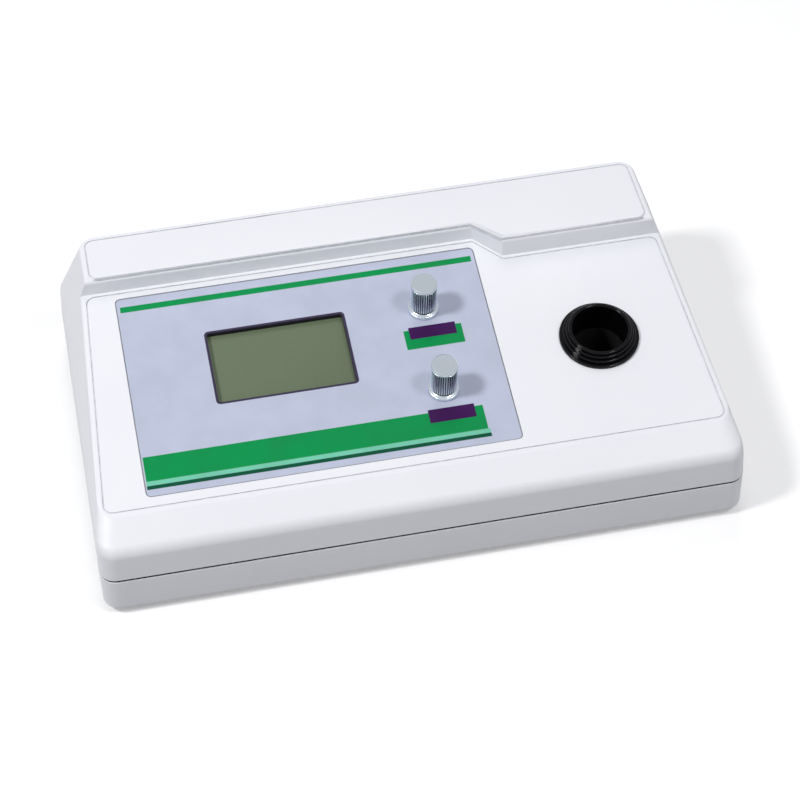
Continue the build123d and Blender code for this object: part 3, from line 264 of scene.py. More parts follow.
def box_loop(width, length, radius, x=0.0, y=0.0, inset=0.0, steps=6):
    """A rounded rectangle as a loop, anticlockwise."""
    w, l = width / 2, length / 2
    corners = [(x - w, y - l), (x + w, y - l), (x + w, y + l), (x - w, y + l)]
    return round_loop(corners, [radius] * 4, inset, steps)


def ring_loop(radius, x=0.0, y=0.0, sides=64):
    """A circle as a loop: (x + r cos a, y + r sin a)."""
    angle = np.arange(sides) * 2 * math.pi / sides
    return np.stack([x + radius * np.cos(angle), y + radius * np.sin(angle)], 1)


def raised(loop, height):
    """A flat loop as points at one height."""
    return np.column_stack([loop, np.full(len(loop), height)])


def slanted(loop, height):
    """A flat loop laid on the sloping panel at a height off it."""
    return on_panel(loop[:, 0], loop[:, 1], height)


def stood(patch, x, v):
    """A patch stood on the sloping panel, with its own upright axis at x and v."""
    points, faces = patch
    return on_panel(x + points[:, 0], v + points[:, 1], points[:, 2]), faces


def placed(name, data):
    """A new object linked to the scene."""
    item = bpy.data.objects.new(name, data)
    bpy.context.scene.collection.objects.link(item)
    return item


def weld(name, patches, angle=35.0):
    """One mesh object from patches in millimetres, with shared points merged and normals outwards."""
    points, faces, looks, start = [], [], [], 0
    for own, quads, *look in patches:
        points.append(own)
        faces.extend((quads + start).tolist())
        looks.append(np.full(len(quads), look[0] if look else 0, np.int32))
        start += len(own)
    mesh = bpy.data.meshes.new(name)
    mesh.from_pydata((np.concatenate(points) * MM).tolist(), [], faces)
    mesh.polygons.foreach_set("material_index", np.concatenate(looks))
    work = bmesh.new()
    work.from_mesh(mesh)
    bmesh.ops.remove_doubles(work, verts=work.verts, dist=4e-6)
    bmesh.ops.recalc_face_normals(work, faces=work.faces)
    work.to_mesh(mesh)
    work.free()
    mesh.shade_smooth()
    mesh.set_sharp_from_angle(angle=math.radians(angle))
    sharpen_rims(mesh)
    return placed(name, mesh)


def sharpen_rims(mesh):
    """Mark the edges that have one face only, so that a wall made from them doesn't bend their shading."""
    used = np.zeros(len(mesh.loops), np.int32)
    mesh.loops.foreach_get("edge_index", used)
    sharp = mesh.attributes.get("sharp_edge") or mesh.attributes.new("sharp_edge", "BOOLEAN", "EDGE")
    marks = np.zeros(len(mesh.edges), bool)
    sharp.data.foreach_get("value", marks)
    marks |= np.bincount(used, minlength=len(mesh.edges)) == 1
    sharp.data.foreach_set("value", marks)


def finish_piece(piece, body, material, slot, *nodes):
    """Even normals on flats, the first finish, and the piece's place in the model."""
    even = piece.modifiers.new("even_normals", "WEIGHTED_NORMAL")
    even.keep_sharp = True
    even.weight = 100
    piece.data.materials.append(material)
    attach(piece, body)
    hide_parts(*nodes)


class Nodes:
    """A short hand for one material's node tree."""

    def __init__(self, name):
        self.material = bpy.data.materials.new(name)
        self.material.use_nodes = True
        self.tree = self.material.node_tree
        self.tree.nodes.clear()
        self.shader = self.tree.nodes.new("ShaderNodeBsdfPrincipled")
        output = self.tree.nodes.new("ShaderNodeOutputMaterial")
        self.tree.links.new(self.shader.outputs["BSDF"], output.inputs["Surface"])
        self.place = self.tree.nodes.new("ShaderNodeTexCoord").outputs["Object"]

    def put(self, socket, value):
        """Link another node's output to a socket, or set the socket's own value."""
        if isinstance(value, bpy.types.NodeSocket):
            self.tree.links.new(value, socket)
        elif isinstance(value, tuple) and len(value) == 3 and socket.type == "RGBA":
            socket.default_value = (*value, 1.0)
        else:
            socket.default_value = value

    def fill(self, node, named):
        """Set a node's sockets by their names, written with underscores."""
        for name, value in named.items():
            self.put(node.inputs[name.replace("_", " ")], value)
        return node

    def shade(self, **named):
        """Set the shader's own sockets."""
        self.fill(self.shader, named)

    def add(self, kind, *values, **named):
        """A new node with its sockets set in order or by their names."""
        node = self.tree.nodes.new("ShaderNode" + kind)
        for socket, value in zip(node.inputs, values):
            self.put(socket, value)
        return self.fill(node, named)

    def math(self, kind, a, b=0.0):
        """One sum on one or two values."""
        node = self.add("Math", a, b)
        node.operation = kind
        return node.outputs[0]

    def noise(self, scale, detail=3.0, place=None, stretch=None, rough=0.5):
        """Cloudy values from 0 to 1; scale counts blobs per metre."""
        place = place or self.place
        if stretch:
            place = self.add("Mapping", Vector=place, Scale=stretch).outputs[0]
        return self.add("TexNoise", Vector=place, Scale=scale, Detail=detail, Roughness=rough).outputs[0]

    def spread(self, value, low, high, start=0.35, stop=0.65):
        """Carry a value from one range to another."""
        ends = {"From_Min": start, "From_Max": stop, "To_Min": low, "To_Max": high}
        return self.add("MapRange", Value=value, **ends).outputs[0]

    def waves(self, value, step):
        """Even waves from 0 to 1 along a length, one in each step in millimetres."""
        wave = self.math("SINE", self.math("MULTIPLY", value, 2 * math.pi / (step * MM)))
        return self.spread(wave, 0.0, 1.0, -1.0, 1.0)

    def mix(self, factor, first, second):
        """The first colour where the factor is 0 and the second where it is 1."""
        node = self.add("Mix")
        node.data_type = "RGBA"
        for place, value in ((0, factor), (6, first), (7, second)):
            self.put(node.inputs[place], value)
        return node.outputs[2]

    def clouded(self, pattern, first, second):
        """Two colours that pass into each other over the middle of a pattern's range."""
        return self.mix(self.spread(pattern, 0.0, 1.0), first, second)

    def bump(self, height, depth, strength=1.0, under=None):
        """Surface relief; depth in metres for a height from 0 to 1."""
        node = self.add("Bump", Strength=strength, Distance=depth, Height=height)
        if under:
            self.put(node.inputs["Normal"], under)
        return node.outputs[0]

    def panel_place(self):
        """Object coordinates turned and moved to the panel: x across, y up the slope, z off it."""
        up = -(PANEL_Y * math.cos(TILT) + PANEL_Z * math.sin(TILT)) * MM
        off = (PANEL_Y * math.sin(TILT) - PANEL_Z * math.cos(TILT)) * MM
        turned = self.add("Mapping", Vector=self.place, Location=(0, up, off), Rotation=(-TILT, 0, 0))
        return turned.outputs[0]

    def axes(self, place):
        """The three coordinates of a place."""
        return self.add("SeparateXYZ", place).outputs

    def rounded(self, x, v, middle, half, radius, soft=0.12):
        """1 inside a rounded rectangle on the panel and 0 outside it, sizes in millimetres."""
        parts = []
        for value, centre, reach in zip((x, v), middle, half):
            off = self.math("ABSOLUTE", self.math("SUBTRACT", value, centre * MM))
            past = self.math("MAXIMUM", self.math("SUBTRACT", off, (reach - radius) * MM), 0.0)
            parts.append(self.math("MULTIPLY", past, past))
        away = self.math("SQRT", self.math("ADD", *parts))
        return self.spread(away, 1.0, 0.0, (radius - soft) * MM, radius * MM)

    def band(self, value, low, high, soft=0.00012):
        """1 between two lengths in millimetres and 0 outside, with a short soft edge."""
        middle, half = (low + high) / 2 * MM, (high - low) / 2 * MM
        away = self.math("ABSOLUTE", self.math("SUBTRACT", value, middle))
        return self.spread(away, 1.0, 0.0, half - soft, half + soft)


def plain_finish(name, colour, second, roughness, grain=900.0, relief=0.00003):
    """A moulded, cast or coated surface: clouded colour, uneven gloss and a fine relief."""
    nodes = Nodes(name)
    clouds = nodes.spread(nodes.noise(35.0, 4.0), 0.0, 1.0, 0.4, 0.7)
    fine = nodes.noise(grain, 2.0)
    nodes.shade(Base_Color=nodes.mix(clouds, colour, second), Normal=nodes.bump(fine, relief))
    nodes.shade(Roughness=nodes.spread(fine, roughness * 0.88, min(roughness * 1.12, 1.0)))
    return nodes.material


def casing_finish(colour):
    """White moulded plastic with a faint spark-eroded texture, slightly duller in patches."""
    nodes = Nodes("casing_white")
    dull = tuple(v * f for v, f in zip(colour, (0.98, 0.98, 0.985)))
    fine = nodes.noise(2600.0, 2.0, rough=0.6)
    coarse = nodes.noise(620.0, 2.0)
    nodes.shade(Base_Color=nodes.clouded(nodes.noise(14.0, 5.0), colour, dull))
    nodes.shade(Roughness=nodes.spread(coarse, 0.40, 0.50), Specular_IOR_Level=0.42)
    nodes.shade(Normal=nodes.bump(fine, 0.000018, 0.6, nodes.bump(coarse, 0.00003, 0.4)))
    return nodes.material


def painted_shade_finish(name, first, second, scale, sheen):
    """Painted shade for a narrow groove or gap: two greys in small patches, nearly without gloss."""
    nodes = Nodes(name)
    shade_patches = nodes.noise(scale, 4.0)
    nodes.shade(Base_Color=nodes.clouded(shade_patches, first, second), Specular_IOR_Level=sheen)
    nodes.shade(Roughness=nodes.spread(shade_patches, 0.6, 0.8))
    return nodes.material


def label_finish(inks):
    """Printed plate: stripes and strips laid out in millimetres on the panel, under a satin film."""
    nodes = Nodes("label_print")
    x, v = nodes.axes(nodes.panel_place())[:2]
    clouds = nodes.spread(nodes.noise(60.0, 4.0), 0, 1)
    fine = nodes.noise(2200.0, 2.0)
    printed = nodes.mix(clouds, inks["plate"], dimmed(inks["plate"], 0.93))
    for across, up, name in PRINTED_AREAS:
        share = nodes.math("MULTIPLY", nodes.band(x, *across), nodes.band(v, *up))
        worn = nodes.mix(clouds, inks[name], dimmed(inks[name], 0.9, 0.004))
        printed = nodes.mix(share, printed, worn)
    share = nodes.rounded(x, v, (WINDOW_X, WINDOW_V), FRAME_HALF, FRAME_CORNER)
    worn = nodes.mix(clouds, inks["frame"], dimmed(inks["frame"], 0.9))
    nodes.shade(Base_Color=nodes.mix(share, printed, worn), Specular_IOR_Level=0.12)
    nodes.shade(Roughness=nodes.spread(fine, 0.34, 0.44))
    nodes.shade(Normal=nodes.bump(fine, 0.000012, 0.5))
    return nodes.material


def display_finish(colour):
    """A reflective liquid crystal: olive, with painted shade a little darker towards one corner, and uneven
    gloss.
    """
    nodes = Nodes("display_glass")
    x, v = nodes.axes(nodes.panel_place())[:2]
    width, length = (size * MM for size in DISPLAY_HALF)
    across = nodes.spread(x, 0.0, 0.5, WINDOW_X * MM - width, WINDOW_X * MM + width)
    down = nodes.spread(v, 0.5, 0.0, WINDOW_V * MM - length, WINDOW_V * MM + length)
    # Painted shade: the colour darkens towards the lower right of the display.
    slope = nodes.math("MULTIPLY", nodes.math("ADD", across, down), 0.7)
    share = nodes.math("ADD", slope, nodes.math("MULTIPLY", nodes.noise(45.0, 3.0), 0.3))
    nodes.shade(Base_Color=nodes.mix(share, colour, dimmed(colour, 0.80)))
    nodes.shade(Roughness=nodes.spread(nodes.noise(1500.0), 0.20, 0.28), Specular_IOR_Level=0.2)
    nodes.shade(Coat_Weight=0.12, Coat_Roughness=0.08)
    return nodes.material


def knob_finish(colour, reach, top):
    """Turned aluminium: rings on the top, and painted shade that darkens the hollows between the ridges
    round the side.
    """
    nodes = Nodes("knob_metal")
    x, v, off = nodes.axes(nodes.panel_place())
    away = [nodes.math("ADD", square(nodes, x, KNOB_X), square(nodes, v, own)) for own in KNOB_VS]
    radius = nodes.math("SQRT", nodes.math("MINIMUM", *away))
    ridge = nodes.spread(radius, 0.0, 1.0, (reach - 0.37) * MM, (reach - 0.17) * MM)
    cap = nodes.spread(off, 0.0, 1.0, (top - 1.55) * MM, (top - 1.45) * MM)
    skirt = nodes.spread(off, 1.0, 0.0, 2.2 * MM, 2.6 * MM)
    pale = nodes.math("MAXIMUM", ridge, nodes.math("MAXIMUM", cap, skirt))
    # Painted shade: the hollows get a near-black metal colour; the ridges, cap and skirt keep the metal's
    # own.
    hollow = nodes.clouded(nodes.noise(700.0, 3.0), dimmed(colour, 0.08), dimmed(colour, 0.18))
    nodes.shade(Base_Color=nodes.mix(pale, hollow, colour), Metallic=0.9)
    nodes.shade(Roughness=nodes.spread(nodes.waves(radius, 0.7), 0.24, 0.31, 0.0, 1.0))
    return nodes.material


def square(nodes, value, middle):
    """The square of a length's distance from a place in millimetres."""
    off = nodes.math("SUBTRACT", value, middle * MM)
    return nodes.math("MULTIPLY", off, off)


def collar_finish(colour):
    """Polished black: glossy, with faint turning lines, and duller down in the bore."""
    nodes = Nodes("collar_black")
    place = nodes.panel_place()
    lines = nodes.noise(40.0, 2.0, place=place, stretch=(1.0, 1.0, 60.0))
    fine = nodes.noise(1800.0, 2.0)
    dull = nodes.spread(nodes.axes(place)[2], 0.25, 0.0, -0.010, 0.004)
    nodes.shade(Base_Color=nodes.clouded(fine, colour, dimmed(colour, 1.6, 0.0006)))
    nodes.shade(Roughness=nodes.math("ADD", nodes.spread(lines, 0.07, 0.12), dull))
    nodes.shade(Specular_IOR_Level=0.2, Coat_Weight=0.06, Coat_Roughness=0.06)
    nodes.shade(Normal=nodes.bump(lines, 0.00002, 0.5))
    return nodes.material


def board_finish(name, colour):
    """Circuit board: green mask over copper tracks that run in steps, seen as slightly lighter lines."""
    nodes = Nodes(name)
    share = nodes.add("TexBrick", Vector=nodes.place, Scale=220.0, Mortar_Size=0.06).outputs["Fac"]
    nodes.shade(Base_Color=nodes.mix(share, colour, dimmed(colour, 1.8, 0.01)), Coat_Weight=0.3)
    nodes.shade(Roughness=nodes.spread(nodes.noise(400.0), 0.3, 0.42), Normal=nodes.bump(share, 0.00005))
    return nodes.material


def stacked_finish(name, colour, step, axis, metallic, roughness):
    """Sheets or turns that lie on each other: fine even lines along one axis."""
    nodes = Nodes(name)
    share = nodes.waves(nodes.axes(nodes.place)[axis], step)
    clouds = nodes.noise(180.0)
    worn = nodes.math("MULTIPLY", share, clouds)
    nodes.shade(Base_Color=nodes.mix(worn, colour, dimmed(colour, 0.45)), Metallic=metallic)
    gloss = nodes.spread(clouds, roughness * 0.8, roughness * 1.2)
    nodes.shade(Roughness=gloss, Normal=nodes.bump(share, 0.0001))
    return nodes.material


def ribbon_finish():
    """Grey flat cable whose first core is red and whose cores show as ribs."""
    nodes = Nodes("ribbon_grey")
    x = nodes.axes(nodes.place)[0]
    ribs = nodes.waves(x, 1.27)
    base = nodes.mix(ribs, linear(150, 152, 156), linear(190, 192, 196))
    nodes.shade(Base_Color=nodes.mix(nodes.band(x, -80.0, -77.6), base, linear(170, 40, 40)))
    nodes.shade(Roughness=nodes.spread(nodes.noise(300.0), 0.45, 0.6), Normal=nodes.bump(ribs, 0.0001))
    return nodes.material


def wire_finish(name, hues):
    """Wire covers whose colour changes from run to run by place, with a waxy surface."""
    nodes = Nodes(name)
    cells = nodes.add("TexVoronoi", Vector=nodes.place, Scale=26.0)
    value = nodes.axes(cells.outputs["Color"])[0]
    colour = hues[0]
    for number, hue in enumerate(hues[1:], 1):
        colour = nodes.mix(nodes.math("GREATER_THAN", value, number / len(hues)), colour, hue)
    nodes.shade(Base_Color=colour, Roughness=nodes.spread(nodes.noise(700.0), 0.38, 0.5))
    return nodes.material


def clear_finish(name, colour, roughness=0.03):
    """Clear glass with a slight tint and uneven gloss."""
    nodes = Nodes(name)
    fine = nodes.noise(500.0, 2.0)
    nodes.shade(Base_Color=nodes.clouded(fine, colour, dimmed(colour, 0.94)))
    nodes.shade(Roughness=nodes.spread(fine, roughness, roughness * 2), Transmission_Weight=0.95, IOR=1.5)
    return nodes.material


def brushed_finish(name, colour, stretch, roughness):
    """Brushed or rolled metal: long scratches along one axis."""
    nodes = Nodes(name)
    lines = nodes.noise(260.0, 4.0, stretch=stretch)
    nodes.shade(Base_Color=nodes.clouded(nodes.noise(40.0), colour, dimmed(colour, 0.85)), Metallic=0.9)
    gloss = nodes.spread(lines, roughness * 0.8, roughness * 1.25)
    nodes.shade(Roughness=gloss, Normal=nodes.bump(lines, 0.00004, 0.5))
    return nodes.material


PLAIN_FINISHES = (
    ("optics_black", (9, 9, 11), (15, 15, 17), 0.85),
    ("foam_black", (16, 12, 24), (26, 22, 34), 0.9, 1400.0, 0.0002),
    ("backlight", (216, 222, 196), (200, 208, 180), 0.35),
    ("rubber_grey", (52, 52, 56), (70, 70, 74), 0.82, 1200.0, 0.00008),
    ("component_black", (30, 30, 32), (42, 42, 44), 0.5, 1500.0),
    ("capacitor_blue", (30, 52, 110), (40, 66, 130), 0.32),
    ("connector_cream", (226, 220, 198), (214, 206, 180), 0.42),
    ("plate_grey", (196, 198, 204), (186, 188, 194), 0.5, 700.0, 0.00008),
    ("inlet_black", (26, 26, 28), (36, 36, 38), 0.36, 1400.0),
    ("rocker_black", (22, 22, 24), (34, 34, 36), 0.28, 1600.0),
)


def node_finishes():
    """The finish of every CAD node that is carried over, by its material slot."""
    finishes = {
        name: plain_finish(name, linear(*colour), linear(*second), *rest)
        for name, colour, second, *rest in PLAIN_FINISHES
    }
    for name, colour, stretch, roughness in (
        ("steel", (176, 178, 182), (1.0, 1.0, 6.0), 0.32),
        ("brass", (196, 164, 92), (1.0, 6.0, 1.0), 0.34),
        ("heat_sink", (150, 152, 156), (8.0, 1.0, 1.0), 0.45),
    ):
        finishes[name] = brushed_finish(name, linear(*colour), stretch, roughness)
    finishes |= {
        "circuit_green": board_finish("circuit_green", linear(20, 84, 48)),
        "fuse_glass": clear_finish("fuse_glass", linear(232, 240, 236)),
        "lens_glass": clear_finish("lens_glass", linear(240, 246, 248)),
        "lamp_glass": clear_finish("lamp_glass", linear(250, 244, 224), 0.08),
        "core_steel": stacked_finish("core_steel", linear(120, 122, 128), 0.5, 1, 0.7, 0.5),
        "coil_tape": stacked_finish("coil_tape", linear(206, 168, 72), 6.0, 2, 0.0, 0.4),
        "ribbon_grey": ribbon_finish(),
        "display_glass": display_finish(linear(*DISPLAY_COLOUR)),
        "wire_cover": wire_finish("wire_cover", [linear(*hue) for hue in WIRE_HUES]),
    }
    return finishes


def leaned(z, run):
    """How far a side has leaned in at a height: a slight draft to the shoulder, then run for each rise."""
    low = SHOULDER_IN * (z - COVER_BOTTOM) / (SHOULDER - COVER_BOTTOM)
    return np.where(z <= SHOULDER, low, SHOULDER_IN + (z - SHOULDER) * run)


def wall_points(z, stretches):
    """A wall at one height or one for each column, from stretches of columns that follow each other.

    A stretch is (columns, start, end) for a straight line, or (columns, centre, angle) for a quarter
    turn about the centre: (x + r cos a, y + r sin a).
    """
    total, begin = sum(count for count, *_ in stretches), 0
    points = np.zeros((total, 3))
    points[:, 2] = z
    for count, first, second in stretches:
        own = slice(begin, begin + count)
        part = np.linspace(0, 1, count, endpoint=begin + count == total)
        here = [np.broadcast_to(value, total)[own] for value in first]
        if isinstance(second, tuple):
            there = [np.broadcast_to(value, total)[own] for value in second]
            here = [a + (b - a) * part for a, b in zip(here, there)]
        else:
            angle = second + part * math.pi / 2
            here = [here[0] + CORNER * np.cos(angle), here[1] + CORNER * np.sin(angle)]
        points[own, 0], points[own, 1] = here
        begin += count
    return points


def front_wall(z):
    """The casing's side ahead of the platform at the height z: left, front and right."""
    run, turn, across = FRONT_COLUMNS
    out = HALF_WIDTH - leaned(z, HIP_RUN)
    x, front = out - CORNER, leaned(z, BEVEL_RUN) - HALF_DEPTH
    y = front + CORNER
    return wall_points(z, (
        (run, (-out, RISER_LEFT), (-out, y)),
        (turn, (-x, y), math.pi),
        (across, (-x, front), (x, front)),
        (turn, (x, y), 1.5 * math.pi),
        (run, (out, y), (out, RISER_RIGHT)),
    ))


def rear_wall(z):
    """The casing's side behind the riser at the height z: right, back with the bay's edges, and left."""
    run, turn, gap, bay, outer = REAR_COLUMNS
    out, back = HALF_WIDTH - leaned(z, HIP_RUN), HALF_DEPTH - leaned(z, HIP_RUN)
    x, y = out - CORNER, back - CORNER
    return wall_points(z, (
        (run, (out, RISER_RIGHT), (out, y)),
        (turn, (x, y), 0.0),
        (gap, (x, back), (BAY_RIGHT, back)),
        (bay, (BAY_RIGHT, back), (BAY_LEFT, back)),
        (outer, (BAY_LEFT, back), (-x, back)),
        (turn, (-x, y), math.pi / 2),
        (run, (-out, y), (-out, RISER_LEFT)),
    ))


def shoulder_rows(wall):
    """Rows from the cover's lower edge over the softened shoulder: straight, then a conic."""
    low, turn, high = (wall(z) for z in (SHOULDER_BELOW, SHOULDER, SHOULDER_ABOVE))
    return np.stack([wall(z) for z in WALL_LEVELS] + list(arc(low, turn, high, 8, 0.8)))


def between(first, last, shares):
    """Rows at the shares of the way from one row to another."""
    return first + (last - first) * np.array(shares)[:, None, None]


def unit(vectors):
    """Vectors divided by their lengths."""
    return vectors / np.linalg.norm(vectors, axis=-1, keepdims=True)


def rounded_edge(below, edge, normal, radius, ends=None):
    """The softened edge between a wall and a flat: the conic between their tangent lines."""
    inwards = unit(np.cross(normal, unit(np.gradient(edge, axis=0))))
    if ends:
        inwards[0], inwards[-1] = ends
    down = unit(below - edge)
    half = np.arccos(np.clip((down * inwards).sum(-1, keepdims=True), -1, 1)) / 2
    reach = radius / np.tan(half)
    return arc(edge + reach * down, edge, edge + reach * inwards, EDGE_STEPS, np.sin(half))


def front_heights():
    """The height at which each front column meets the sloping panel, by repeated substitution."""
    z = PANEL_Z
    for _ in range(40):
        z = PANEL_Z + (front_wall(z)[:, 1] - PANEL_Y) * math.tan(TILT)
    return z


def panel_edge(radius):
    """The panel's left, front and right edges with the wall that rises to them."""
    heights = front_heights()
    normal = (0, -math.sin(TILT), math.cos(TILT))
    ends = ((1, 0, 0), (-1, 0, 0))
    rounding = rounded_edge(front_wall(heights - 1.0), front_wall(heights), normal, radius, ends)
    shoulder = shoulder_rows(front_wall)
    return np.concatenate([shoulder, between(shoulder[-1], rounding[0], (0.33, 0.66)), rounding])


def platform_edge(radius, meets_left, meets_right):
    """The wall behind the riser in two bands, and the platform's rounded edge above it."""
    edge, run = rear_wall(TOP), REAR_COLUMNS[0]
    split = np.full(len(edge), BAY_HIGH)
    split[:run] = meets_right + (BAY_HIGH - meets_right) * np.linspace(0, 1, run)
    split[-run:] = BAY_HIGH + (meets_left - BAY_HIGH) * np.linspace(0, 1, run)
    rounding = rounded_edge(rear_wall(TOP - 1.0), edge, (0, 0, 1), radius)
    for column, lean in ((0, radius * HIP_RUN), (-1, -radius * HIP_RUN)):
        corner = edge[column]
        end = np.array([rounding[-1, column, 0], corner[1] + radius, TOP])
        rounding[:, column] = arc(corner + (lean, 0, -radius), corner, end, EDGE_STEPS)
    shoulder = shoulder_rows(rear_wall)
    lower = between(shoulder[-1], rear_wall(split), (0.33, 0.66, 1.0))
    upper = between(lower[-1], rounding[0], (0.5,))
    return np.concatenate([shoulder, lower, upper, rounding]), len(shoulder) + 2


def riser_edge(radius, left, right):
    """The platform's front edge over the jog, from the left corner's arc to the right one's."""
    jog = unit(np.array([JOG_RIGHT - JOG_LEFT, RISER_RIGHT - RISER_LEFT]))
    back = np.array([-jog[1], jog[0]])
    mitre = (back + (0, 1)) / (1 + back[1])
    columns = [left]
    for x, y in ((JOG_LEFT, RISER_LEFT), (JOG_RIGHT, RISER_RIGHT)):
        edge = np.array([x, y, TOP])
        end = edge + np.array([*(mitre * radius), 0])
        columns.append(arc(edge - (0, 0, radius), edge, end, len(left) - 1))
    columns.append(right)
    return np.stack(columns, 1)


def rear_patches(rear, top_row):
    """The wall behind the riser without its bay, and the bay's four sides, straight in from their rim."""
    run, turn, gap, bay, outer = REAR_COLUMNS
    first, last = run + turn + gap, run + turn + gap + bay
    low_row = WALL_LEVELS.index(BAY_LOW)
    points, faces = sheet(rear)
    row, column = np.divmod(faces[:, 0], rear.shape[1])
    outside = (row < low_row) | (row >= top_row) | (column < first) | (column >= last)
    rim = np.concatenate([
        rear[low_row, first:last],
        rear[low_row:top_row, last],
        rear[top_row, last:first:-1],
        rear[top_row:low_row:-1, first],
    ])
    inner = rim.copy()
    inner[:, 1] = BAY_FACE
    return [(points, faces[outside]), sheet(np.stack([rim, inner]), True)]


def riser_patches(front, rear, top_row, edge, foot):
    """The riser's three upright flats, between the panel's edge, the platform's edge and the jog."""
    steps = EDGE_STEPS + 1
    uprights = rear[top_row + 1:len(rear) - steps + 1][::-1]
    left = np.concatenate([front[-steps:, 0], [foot[0], edge[0, 1]], uprights[:, -1]])
    middle = np.array([foot[0], foot[1], edge[0, 2], edge[0, 1]])
    right = np.concatenate([front[-steps:, -1], [foot[1], edge[0, 2]], uprights[:, 0]])
    return [filled(rim) for rim in (left, middle, right)]


def cover_patches(radius, groove_width, groove_depth):
    """The cover's skin: walls, edges, riser, platform and panel with their grooves and openings."""
    steps = EDGE_STEPS + 1
    front = panel_edge(radius)
    rear, top_row = platform_edge(radius, front[-steps, 0, 2], front[-steps, -1, 2])
    edge = riser_edge(radius, rear[-steps:, -1], rear[-steps:, 0])
    turns = ((JOG_LEFT, RISER_LEFT), (JOG_RIGHT, RISER_RIGHT))
    foot = [on_panel(x, (y - PANEL_Y) / math.cos(TILT), 0.0) for x, y in turns]
    patches = [sheet(front), *rear_patches(rear, top_row), sheet(edge)]
    patches += riser_patches(front, rear, top_row, edge, foot)
    panel_rim = np.concatenate([front[-1], [foot[1], foot[0]]])
    platform_rim = np.concatenate([rear[-1], edge[-1, 1:-1]])
    patches += panel_flats(panel_rim, groove_width, groove_depth)
    patches += platform_flats(platform_rim, groove_width, groove_depth)
    return patches


def groove_patches(corners, radii, lay, width, depth):
    """A square-cut line: the outer wall, the bottom and the inner wall between two parallel loops."""
    outer, inner = round_loop(corners, radii), round_loop(corners, radii, width)
    rows = [lay(outer, 0.0), lay(outer, -depth), lay(inner, -depth), lay(inner, 0.0)]
    # The groove's walls and bottom take the second finish, painted shade darker than the casing.
    return (*sheet(np.stack(rows), True), 1), rows[0], rows[3]


def panel_flats(rim, width, depth):
    """The sloping panel round its groove, with the plate's recess and the well's hole."""
    low = GROOVE_INSET / math.cos(TILT)
    left = (RISER_LEFT - PANEL_Y - GROOVE_RISER) / math.cos(TILT)
    right = (RISER_RIGHT - PANEL_Y - GROOVE_RISER) / math.cos(TILT)
    leans = [leaned(PANEL_Z + v * math.sin(TILT), HIP_RUN) for v in (low, right, left)]
    front, middle, back = (HALF_WIDTH - GROOVE_INSET - float(lean) for lean in leans)
    corners = [(-front, low), (front, low), (middle, right)]
    corners += [(JOG_RIGHT, right), (JOG_LEFT, left), (-back, left)]
    radii = [GROOVE_CORNER] * 3 + [GROOVE_JOG] * 2 + [GROOVE_CORNER]
    ring, outer, inner = groove_patches(corners, radii, slanted, width, depth)
    seat = [size + 2 * LABEL_GAP for size in LABEL_SIZE[:2]]
    recess = box_loop(*seat, LABEL_SIZE[2], LABEL_X, LABEL_V)
    room = [size + GASKET_ROOM for size in (WINDOW_WIDTH, WINDOW_LENGTH)]
    window = box_loop(*room, WINDOW_CORNER, WINDOW_X, WINDOW_V)
    well = ring_loop(WELL_HOLE, WELL_X, WELL_V)
    shafts = [ring_loop(SHAFT_HOLE, KNOB_X, v, 32) for v in KNOB_VS]
    top, floor = slanted(recess, 0.0), slanted(recess, -LABEL_RECESS)
    holes = [slanted(loop, -LABEL_RECESS) for loop in (window, *shafts)]
    return [
        ring,
        filled(rim, [outer]),
        filled(inner, [top, slanted(well, 0.0)]),
        sheet(np.stack([top, floor]), True),
        filled(floor, holes),
    ]


def platform_flats(rim, width, depth):
    """The platform's top round its groove."""
    edge = float(leaned(TOP, HIP_RUN)) + GROOVE_INSET
    side, back = HALF_WIDTH - edge, HALF_DEPTH - edge
    left, right = RISER_LEFT + GROOVE_RISER, RISER_RIGHT + GROOVE_RISER
    corners = [(-side, left), (JOG_LEFT, left), (JOG_RIGHT, right)]
    corners += [(side, right), (side, back), (-side, back)]
    radii = [GROOVE_CORNER] + [GROOVE_JOG] * 2 + [GROOVE_CORNER] * 3

    def lay(loop, height):
        return raised(loop, TOP + height)

    ring, outer, inner = groove_patches(corners, radii, lay, width, depth)
    return [ring, filled(rim, [outer]), filled(inner)]


def base_patches(radius):
    """The lower tray: flat bottom with pockets, rounded lower edge, wall, rim, tongue and floor."""
    def loop(inset, height):
        return raised(box_loop(2 * HALF_WIDTH, 2 * HALF_DEPTH, CORNER, inset=inset, steps=10), height)

    bottom, rim = BASE_BOTTOM, PARTING - RIM_DROP
    start, corner, end = loop(radius, bottom), loop(0.0, bottom), loop(0.0, bottom + radius)
    wall = [*arc(start, corner, end, 8), loop(0.0, 12.0), loop(0.0, rim - 0.6)]
    wall += [loop(0.12, rim - 0.3), loop(0.3, rim - 0.1), loop(0.55, rim)]
    joint = [wall[-1], loop(TONGUE_INSET, rim), loop(TONGUE_INSET, TONGUE_TOP)]
    inside = [joint[-1], loop(TRAY_WALL, TONGUE_TOP), loop(TRAY_WALL, bottom + TRAY_FLOOR)]
    # The rim's inner top and the tongue's outer side take the gap's near-black painted shade.
    patches = [sheet(np.stack(wall), True), (*sheet(np.stack(joint), True), 1)]
    patches += [sheet(np.stack(inside), True), filled(inside[-1])]
    holes = []
    for x, y, size, depth in BASE_POCKETS:
        for sx, sy in ((-1, -1), (-1, 1), (1, -1), (1, 1)):
            low = raised(ring_loop(size, sx * x, sy * y, 48), bottom)
            high = low + (0, 0, depth)
            holes.append(low)
            patches += [sheet(np.stack([low, high]), True), filled(high)]
    patches.append(filled(start, holes))
    return patches


